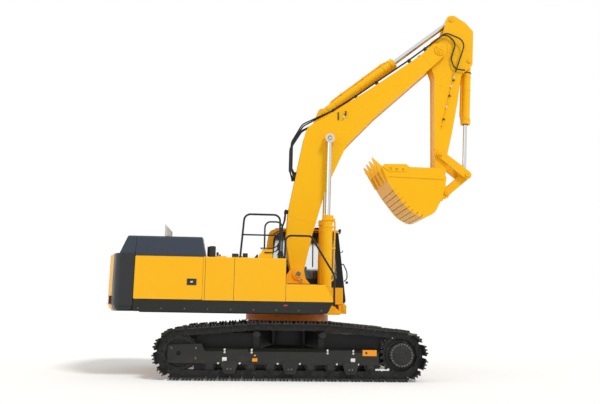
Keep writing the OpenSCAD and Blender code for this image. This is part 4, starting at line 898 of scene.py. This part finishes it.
# House


def door_louvres(bm):
    """Pressed louvres that let air to the cooler on the left door."""
    for x in range(-2790, -2240, 270):
        for z in range(1560, 2050, 48):
            slab(bm, [(x, z), (x + 220, z), (x + 220, z + 26), (x, z + 26)], 1468, 1478)


def rear_lamp(bm, grow, out_low, out_high):
    """A box on the slanting rear corner of the counterweight, right side."""
    a, b = Vector((-3385, -1130)), Vector((-3440, -960))
    along = (b - a).normalized()
    out = Vector((-along.y, along.x))
    a, b = a - along * grow, b + along * grow
    ends = [a + out * out_low, b + out * out_low, b + out * out_high, a + out * out_high]
    skin(bm, [[bm.verts.new(mm(p.x, p.y, z)) for p in ends] for z in (1345 - grow, 1465 + grow)])


def hood_trim(bm):
    """Ribs pressed in the engine hood."""
    for x in range(-2690, -2040, 80):
        slab(bm, [(x, 2598), (x + 46, 2598), (x + 40, 2612), (x + 6, 2612)], 120, 820)


def hood_handles(bm):
    for y in (300, 900):
        low, high = (-2850, y - 70), (-2850, y + 70)
        bent(bm, [(*low, 2596), (*low, 2640), (*high, 2640), (*high, 2596)], 26, 9)


def deck_boxes(bm):
    """Air cleaner box, filter heads and cable tray behind the cab, seen over the tanks."""
    fins = [((x, -1280, 2250), (x + 5, -1090, 2430)) for x in range(-1600, -1560, 9)]
    boxes(
        ((-1560, -1290, 2236), (-1452, -1080, 2440)), *fins, ((-1600, -1275, DECK_TOP), (-1440, -1095, 2240)),
        ((-1430, -1230, 2226), (-1390, -1150, 2330)), ((-1380, -1230, 2226), (-1350, -1150, 2290)),
        ((-1130, -1380, 2226), (-1010, -1180, 2300)), ((-1000, -1360, 2226), (-940, -1200, 2256)),
        ((-930, -1380, 2226), (-836, -1180, 2310)))(bm)
    slab(bm, [(-716, 2226), (-640, 2226), (-640, 2296), (-660, 2296)], -1360, -1300)


def deck_yellow(bm):
    """The painted boxes on the tank top."""
    block(bm, (-1420, -1330, DECK_TOP), (-1240, -1080, 2252))
    block(bm, (-1120, -1400, DECK_TOP), (-840, -1160, 2232))
    slab(bm, [(-640, DECK_TOP), (-372, DECK_TOP), (-372, 2396), (-560, 2396), (-584, 2330), (-620, 2290)],
         -1390, -1180)


def deck_bars(bm):
    """Grab bars over the painted box."""
    for x, z in ((-500, 2330), (-600, 2412)):
        bent(bm, [(x, -1400, z), (-380, -1400, z), (-300, -1380, z + 30), (-240, -1370, z + 120)], 40, 11)
    block(bm, (-520, -1412, 2322), (-500, -1388, 2340))
    block(bm, (-590, -1412, 2390), (-570, -1380, 2420))


def tread_plates(bm):
    """Anti-slip strips on the walkways, raised rows of lugs."""
    for x0, x1, y0, y1 in ((-1040, -450, -1130, -780), (-1560, -1120, -1000, -780), (-1560, -560, 720, 1400)):
        block(bm, (x0, y0, DECK_TOP - 1), (x1, y1, DECK_TOP + 4))
        for x in range(x0 + 30, x1 - 29, 60):
            for y in range(y0 + 30, y1 - 29, 60):
                turned(bm, (x, y, DECK_TOP + 3), (x, y, DECK_TOP + 9), [(0, 12), (5, 9)], 8)


def exhaust_trim(bm):
    """The flange and the clamp at the stack's foot, and the stays beside it."""
    turned(bm, (-2487, -640, 2596), (-2487, -640, 2640), [(0, 120), (6, 120), (10, 92), (44, 92)], 40)
    turned(bm, (-2430, -600, 2600), (-2430, -600, 2680), [(0, 82), (76, 82), (80, 76)], 40)
    for k in range(3):
        block(bm, (-2440 + k * 26, -700, 2600), (-2426 + k * 26, -660, 2640 + 14 * k))


# A paddle latch in its dish on the right service door
build("right_door_latch", "service_door_right", black_plastic, boxes(
    ((-1937, FLANK - 6, 1694), (-1762, FLANK + 4, 1812)),
    ((-1925, FLANK - 9, 1706), (-1774, FLANK - 5, 1712)),
    ((-1925, FLANK - 9, 1794), (-1774, FLANK - 5, 1800))), 3)
build("right_door_paddle", "service_door_right", zinc_steel, boxes(
    ((-1872, FLANK - 15, 1738), (-1826, FLANK - 5, 1768))), 3)
build("left_door_louvres", "service_door_left", house_yellow, door_louvres, 4)
build("skirt_pressings", "upper", charcoal_enamel, boxes(
    ((-2885, FLANK - 3, 1232), (640, FLANK + 1, 1240)),
    ((-2885, FLANK - 3, 1392), (690, FLANK + 1, 1400))), 2, True)
bolts_both("skirt_bolts", "upper", [(x, FLANK, 1262) for x in range(-2800, 600, 420)], 0.55)
build("side_reflectors", "upper", red_lens, boxes(((-142, FLANK - 5, 1338), (-76, FLANK, 1362))), 2, True)
build("rear_lamp_cases", "upper", black_plastic, lambda bm: rear_lamp(bm, 14, -40, 14), 4, True)
build("rear_lamps", "upper", red_lens, lambda bm: rear_lamp(bm, 0, 10, 22), 5, True)
build("hood_louvres", "engine_hood", slate_enamel, hood_trim, 4)
build("hood_handles", "engine_hood", pipe_enamel, hood_handles)
build("deck_black_boxes", "upper", black_plastic, deck_boxes, 4)
build("deck_painted_boxes", "upper", house_yellow, deck_yellow, 8)
build("deck_grab_bars", "upper", pipe_enamel, deck_bars)
build("tread_plates", "upper", pipe_enamel, tread_plates)
build("exhaust_collar", "upper", pipe_enamel, exhaust_trim)

# Cab and deck


def cab_rubbers(bm):
    """Glazing rubber round the windows on the boom side, and the bar between the sliding panes."""
    for loop in ([(-335, 2204), (165, 2204), (165, 2850), (-255, 2850)],
                 [(235, 1944), (1120, 1944), (1035, 2850), (235, 2850)]):
        tube(bm, rounded(at_y(CAB_WALL, loop + loop[:2]), 42)[3:], 9, 8)
    block(bm, (556, 510, 2200), (582, 528, 2850))


def cab_outside(bm):
    """Rain rails over the windows and the grab rail beside the door."""
    for y in (514, 1476):
        bent(bm, at_y(y, [(-300, 2905), (-180, 2985), (1000, 2985), (1085, 2960)]), 70, 10)
    bent(bm, [(1250, 1440, 1600), (1290, 1500, 1600), (1250, 1500, 2240), (1165, 1440, 2240)], 34, 13)


def cab_front(bm):
    """Wiper with its blade and motor, the mirror's bracket and head, and a small upper bracket."""
    bent(bm, [(1200, 980, 2130), (1232, 980, 2130), (1190, 930, 2560)], 20, 8, 8)
    block(bm, (1176, 922, 2200), (1186, 938, 2750))
    block(bm, (1215, 940, 2090), (1262, 1020, 2150))
    bent(bm, [(1200, 540, 2270), (1250, 530, 2280), (1330, 520, 2110), (1330, 520, 1960), (1270, 535, 1900)],
         60, 13)
    block(bm, (1300, 505, 1850), (1352, 545, 1902))
    bent(bm, [(1150, 540, 2520), (1230, 530, 2545), (1236, 530, 2580)], 20, 9, 8)


def lamp_case(bm, x, y, z, size=44):
    """A square work lamp with cooling fins and its foot."""
    block(bm, (x - size * 0.6, y - size, z - size), (x + size * 0.5, y + size, z + size))
    for k in range(4):
        block(bm, (x - size * 0.95, y - size * 0.8 + k * size * 0.5, z - size * 0.8),
              (x - size * 0.6, y - size * 0.65 + k * size * 0.5, z + size * 0.8))
    block(bm, (x - 12, y - 12, z - size - 34), (x + 12, y + 12, z - size))


def cab_lamps(bm):
    """The bar lamp on the roof, a lamp on each side and the bracket of the front one."""
    block(bm, (620, 600, 3046), (755, 700, 3086))
    lamp_case(bm, 700, 1370, 3120)
    lamp_case(bm, 1180, 600, 3022, 36)
    block(bm, (1040, 588, 2956), (1192, 612, 2972))


def deck_nose(bm):
    """The deck's front edge below the cab."""
    slab(bm, [(1150, 1200), (1318, 1200), (1322, 1372), (1296, 1396), (1150, 1396)], 520, 1478)


def foot_pin(bm):
    """The boom foot pin's ring and its keeper's round boss on the girder."""
    boss(bm, BOOM_FOOT, -316, [(0, 96), (22, 96), (26, 90), (26, 70), (52, 70), (52, 52), (50, 52)], 40)
    boss(bm, (262, 1880), -316, [(0, 44), (33, 44), (36, 40), (36, 26), (32, 25)], 28)


def foot_pin_core(bm):
    boss(bm, BOOM_FOOT, -340, [(0, 52), (26, 52), (28, 48), (28, 0.5)])
    boss(bm, (262, 1880), -330, [(0, 26), (19, 26), (20, 23), (20, 0.5)], 24)


def door_fittings(bm):
    """The cab door's handle and the barrels of its hinges."""
    block(bm, (980, 1468, 2060), (1080, 1480, 2110))
    block(bm, (995, 1480, 2074), (1065, 1496, 2092))
    for z in (1650, 2420):
        turned(bm, (113, 1478, z), (113, 1478, z + 120), [(0, 16), (120, 16)], 16)


build("deck_nose", "upper", house_yellow, deck_nose, 6)
build("boom_foot_rings", "upper", house_yellow, foot_pin, 0, True)
build("boom_foot_cores", "upper", pin_steel, foot_pin_core, 0, True)
# Dark seal strips in the joints between the right side's panels
build("side_seals", "upper", rubber, boxes(
    *[((x - 5, FLANK + 2, 1300), (x + 5, FLANK + 24, 2208)) for x in (-1609, -1072, -109)]))
build("frame_inner_plates", "undercarriage", pipe_enamel, boxes(
    ((-1760, -1310, 150), (-1440, -1296, 330))), 0, True)
build("cab_window_rubbers", "upper", rubber, cab_rubbers)
build("cab_rails", "upper", pipe_enamel, cab_outside)
build("cab_wiper_and_mirror_bracket", "upper", black_plastic, cab_front, 2)
build("cab_work_lamps", "upper", black_plastic, cab_lamps, 3)
build("cab_lamp_lenses", "upper", clear_lens, boxes(
    ((721, 1340, 3090), (727, 1400, 3150)), ((1197, 570, 2992), (1203, 630, 3052))), 2)
build("cab_door_handle", "cab_door", black_plastic, door_fittings, 3)
# Armrests and head rest of the driver's seat
build("seat_armrests", "upper", black_plastic, boxes(
    ((20, 708, 1990), (320, 768, 2040)), ((20, 1202, 1990), (320, 1262, 2040)),
    ((-200, 880, 2590), (-120, 1110, 2740))), 14)

# Boom, arm and bucket


def pin_cap(bm, at, y, radius, thick=14):
    """A pin's end cap with its turned step and grease nipple, towards -Y."""
    boss(bm, at, y, [(-4, radius), (thick - 4, radius), (thick, radius - 4), (thick, radius * 0.45),
                     (thick - 5, radius * 0.42), (thick - 5, 0.5)], 40)
    boss(bm, at, y - thick + 6, [(0, 8), (7, 8), (14, 4)], 8)


def caps(*rows):
    """A builder that makes pin caps from rows of pin_cap's values."""
    return lambda bm: [pin_cap(bm, *row) for row in rows]


def keeper(bm, at, y, angle, length=110):
    """A pin keeper plate, from the pin outwards at an angle."""
    x, z = at
    c, s = math.cos(angle), math.sin(angle)
    ends = [(-30, -22), (length, -16), (length, 16), (-30, 22)]
    slab(bm, [(x + a * c - b * s, z + a * s + b * c) for a, b in ends], y - 12, y)


def boom_keepers(bm):
    keeper(bm, ARM_PIN, -305, 2.6)
    keeper(bm, BOOM_FOOT, -310, -1.2, 130)


def boom_welds(bm):
    """Weld beads where the side plates are joined and round the nose boss."""
    for path in ([(2882, 6866), (2990, 6770), (3080, 6655)], [(-30, 3210), (270, 3130), (660, 3060)]):
        bent(bm, at_y(BOOM_SIDE, path), 60, WELD, 6)
    tube(bm, arc_at(ARM_PIN, BOOM_SIDE, 175, 2.2, 20), WELD, 6)


def boom_lamp(bm):
    """The boom's work lamp case and its bracket on the right side."""
    slab(bm, [(1000, 5490), (1022, 5496), (1030, 5330), (1008, 5316)], -292, -268)
    bent(bm, [(1150, -300, 5400), (1176, -312, 5450), (1172, -300, 5516)], 30, 16)
    block(bm, (1128, -300, 5392), (1150, -268, 5420))


def boom_lamp_lens(bm):
    turned(bm, (1128, -300, 5392), (1150, -330, 5372), [(0, 26), (20, 26), (24, 20)], 20)


def arm_fittings(bm):
    """Couplings on the arm's side pipe."""
    for x, z in ((3622, 6457), (3551, 6241), (3437, 5767)):
        turned(bm, (x, -188, z), (x - 0.27, -188, z - 0.96), [(0, 14), (4, 19), (56, 19), (60, 14)], 16)


def arm_marks(bm):
    """Two plugs in the arm's side, and weld beads round its pin boss and across its foot."""
    for z in (6390, 6239):
        boss(bm, (3318, z), ARM_SIDE, [(-2, 20), (5, 20), (7, 12), (7, 0.5)], 20)
    tube(bm, arc_at(ARM_PIN, ARM_SIDE, 196, -2.3, 26), WELD, 6)
    tube(bm, at_y(ARM_SIDE, [(3190, 4560), (3370, 4560)]), WELD, 6)


build("boom_pin_caps", "boom", gear_yellow, caps(
    (ARM_PIN, -294, 92), (BOOM_CYL[1], -443, 56, 18), (ARM_CYL[0], -136, 44, 10)), 1.5, True)
build("boom_pin_keepers", "boom", gear_yellow, boom_keepers, 2, True)
build("boom_weld_beads", "boom", gear_yellow, boom_welds, 0, True)
build("boom_side_bracket", "boom", black_plastic, boom_lamp, 2)
build("boom_side_lens", "boom", clear_lens, boom_lamp_lens, 1)
bolts_both("boom_nose_bolts", "boom", ring((ARM_PIN[0], -306, ARM_PIN[1]), 66, 4, "Y", 0.5), 0.7, gear_yellow)
build("arm_pipe_couplings", "arm", zinc_steel, arm_fittings, 0, True)
build("arm_pipe_blocks", "arm", black_plastic, boxes(
    *[((x - 24, -206, z - 18), (x + 24, -174, z + 18))
      for x, z in ((3501, 5996), (3356, 5450), (3600, 6360))]), 3, True)
build("arm_pin_caps", "arm", gear_yellow, caps(
    (ARM_CYL[1], -189, 52), (BUCKET_CYL[0], -189, 46), (GUIDE_PIN, -237, 40)), 1.5, True)
build("arm_welds_and_plugs", "arm", gear_yellow, arm_marks, 0, True)


def bucket_floor():
    """The outer line of the bucket's floor, from the lip to the rear, with its rolled corners."""
    # Rows of [x, z, corner radius] from the bucket's pin
    rows = [(-1261, -243, 0), (-1151, -441, 400), (-770, -905, 300), (-490, -1045, 160), (-250, -945, 260),
            (-104, -653, 0)]
    spots = [Vector(row[:2]) for row in rows]
    line = [spots[0]]
    for before, at, after, row in zip(spots, spots[1:], spots[2:], rows[1:]):
        come, leave = (at - before).normalized(), (after - at).normalized()
        turn = come.angle(leave)
        cut = row[2] * math.tan(turn / 2)
        hub = at + (leave - come).normalized() * (row[2] / math.cos(turn / 2))
        first, last = at - come * cut - hub, at + leave * cut - hub
        for k in range(13):
            share = k / 12
            spoke = first * math.sin((1 - share) * turn) + last * math.sin(share * turn)
            line.append(hub + spoke / math.sin(turn))
    return line + [spots[-1]]


def groove_shade_strips(bm):
    """Dark rust-brown strips sunk in the bottoms of the grooves rolled across the bucket's floor: painted
    shade in the grooves.
    """
    line = bucket_floor()
    wanted = range(285, 1091, 115)
    gone = 0
    for a, b in zip(line, line[1:]):
        step = (b - a).length
        along = (b - a).normalized()
        inward = Vector((-along.y, along.x))
        for distance in [d for d in wanted if gone <= d < gone + step]:
            at = Vector(BUCKET_PIN) + a + along * (distance - gone)
            slab(bm, [at + along * t + inward * d for t, d in ((-6.8, 5), (6.8, 5), (6.8, 12), (-6.8, 12))],
                 -581, 581)
        gone += step


def cutter_rings(bm):
    """Bare rings round the side cutter's three bolts."""
    for at in CUTTER_HOLES:
        boss(bm, at, BUCKET_SIDE, [(-2, 34), (3, 34), (4, 30), (4, 0.5)], 28)


def bucket_welds(bm):
    """Fillet welds along the side plate's band and behind the lip."""
    for path in ([(2000, 4044), (2450, 4026), (3210, 4008)],
                 [(1990, 3990), (2100, 3800), (2440, 3360), (2700, 3205)]):
        bent(bm, at_y(BUCKET_SIDE, path), 120, 5, 6)


build("bucket_welds", "bucket", gear_yellow, bucket_welds, 0, True)
build("bucket_pin_caps", "bucket", gear_yellow, caps(
    (BUCKET_PIN, -247, 58, 16), (LINK_PIN, -247, 50, 16)), 1.5, True)
build("link_pin_caps", "guide_links", gear_yellow, caps(
    (BUCKET_CYL[1], -238, 50, 16), (GUIDE_PIN, -238, 46, 16)), 1.5, True)
# Painted shade: dark strips in the bucket floor's grooves
build("bucket_groove_stain", "bucket", rust_and_groove_shade_steel, groove_shade_strips)
build("side_cutter_rings", "bucket", rust_and_groove_shade_steel, cutter_rings, 0, True)
bolts_both("side_cutter_bolts", "bucket", at_y(BUCKET_SIDE - 2, CUTTER_HOLES), 0.9, gear_yellow)

# Cylinders: bands, glands, ports and lines


def bands(bm, cylinder, inner, rows, y=0.0):
    """Bands round a cylinder that runs between two pins at y: rows of [distance, length, outer]."""
    for distance, length, outer in rows:
        a, b = towards(*cylinder, distance), towards(*cylinder, distance + length)
        rim = [(0, inner), (0, outer - 3), (3, outer), (length - 3, outer), (length, outer - 3),
               (length, inner), (0, inner)]
        made = turned(bm, (a.x, y, a.y), (b.x, y, b.y), rim, 48)
        corners = {vert for face in made for vert in face.verts}
        bmesh.ops.delete(bm, geom=made[:2], context="FACES_ONLY")
        bmesh.ops.remove_doubles(bm, verts=list(corners), dist=1e-6)


def line_on(bm, cylinder, rows, y, radius):
    """A steel line beside a cylinder, from rows of [distance, offset]."""
    bent(bm, at_y(y, [towards(*cylinder, s, o) for s, o in rows]), 70, radius)


def boom_barrel_bands(bm):
    bands(bm, BOOM_CYL, 100, ((1545, 16, 122), (1400, 26, 112), (760, 22, 110), (190, 22, 110)), -BOOM_CYL_Y)
    for k in range(10):
        a = 2 * math.pi * k / 10
        c = towards(*BOOM_CYL, 1638, 84 * math.cos(a))
        y = -BOOM_CYL_Y + 84 * math.sin(a)
        turned(bm, (c.x, y, c.y), (c.x, y, c.y + 14), [(0, 13), (12, 13), (14, 10)], 6)


def boom_barrel_line(bm):
    """The steel line along the front of each boom cylinder, in its clamps."""
    rows = [(300, -98), (340, -142), (1430, -152), (1530, -150), (1590, -112)]
    line_on(bm, BOOM_CYL, rows, -BOOM_CYL_Y, 17)
    for s in (420, 960, 1400):
        a, b = towards(*BOOM_CYL, s, -90), towards(*BOOM_CYL, s + 34, -172)
        block(bm, (min(a.x, b.x), -BOOM_CYL_Y - 26, a.y), (max(a.x, b.x), -BOOM_CYL_Y + 26, b.y))
    c = towards(*BOOM_CYL, 1560, -118)
    block(bm, (c.x - 30, -BOOM_CYL_Y - 34, c.y - 34), (c.x + 34, -BOOM_CYL_Y + 34, c.y + 34))


def arm_barrel_bands(bm):
    bands(bm, ARM_CYL, 108, ((1895, 16, 130), (1700, 24, 119), (1010, 24, 118), (330, 24, 118)))
    for s in (420, 1000, 1840):
        a, b = towards(*ARM_CYL, s, 108), towards(*ARM_CYL, s, 140)
        turned(bm, (a.x, 0, a.y), (b.x, 0, b.y), [(0, 20), (26, 20), (32, 14)], 12)


def arm_barrel_line(bm):
    for y in (-52, 52):
        line_on(bm, ARM_CYL, ((250, 96), (300, 124), (1760, 132), (1860, 108)), y, 14)
    for s in (560, 1180, 1700):
        a, b = towards(*ARM_CYL, s, 100), towards(*ARM_CYL, s, 148)
        turned(bm, (a.x, -70, b.y), (a.x, 70, b.y), [(0, 24), (140, 24)], 12)


def bucket_barrel_bands(bm):
    bands(bm, BUCKET_CYL, 90, ((1336, 16, 112), (1300, 30, 104), (640, 18, 101), (330, 18, 101)))
    for y in (-34, 34):
        line_on(bm, BUCKET_CYL, ((230, -70), (280, -112), (1250, -116), (1330, -90)), y, 12)


def bucket_barrel_ports(bm):
    bands(bm, BUCKET_CYL, 90, ((236, 20, 106),))
    for y in (-34, 34):
        a, b = towards(*BUCKET_CYL, 246, -84), towards(*BUCKET_CYL, 246, -150)
        turned(bm, (a.x, y, a.y), (b.x, y, b.y), [(0, 18), (62, 18), (66, 12)], 12)


def wiper(cylinder, distance, rod, y=0.0):
    """A builder that makes the rubber wiper where a rod leaves its barrel."""
    return lambda bm: bands(bm, cylinder, rod / 2 + 1, ((distance, 12, rod / 2 + 18),), y)


build("boom_barrel_bands", "boom_barrels", gear_yellow, boom_barrel_bands, 0, True)
build("boom_barrel_lines", "boom_barrels", gear_yellow, boom_barrel_line, 3, True)
build("arm_barrel_bands", "arm_barrel", gear_yellow, arm_barrel_bands)
build("arm_barrel_lines", "arm_barrel", gear_yellow, arm_barrel_line)
build("bucket_barrel_bands", "bucket_barrel", gear_yellow, bucket_barrel_bands)
build("bucket_barrel_ports", "bucket_barrel", black_plastic, bucket_barrel_ports)
build("boom_rod_wipers", "boom_barrels", rubber, wiper(BOOM_CYL, 1648, 96, -BOOM_CYL_Y), 0, True)
build("arm_rod_wiper", "arm_barrel", rubber, wiper(ARM_CYL, 1998, 110))
build("bucket_rod_wiper", "bucket_barrel", rubber, wiper(BUCKET_CYL, 1438, 92))
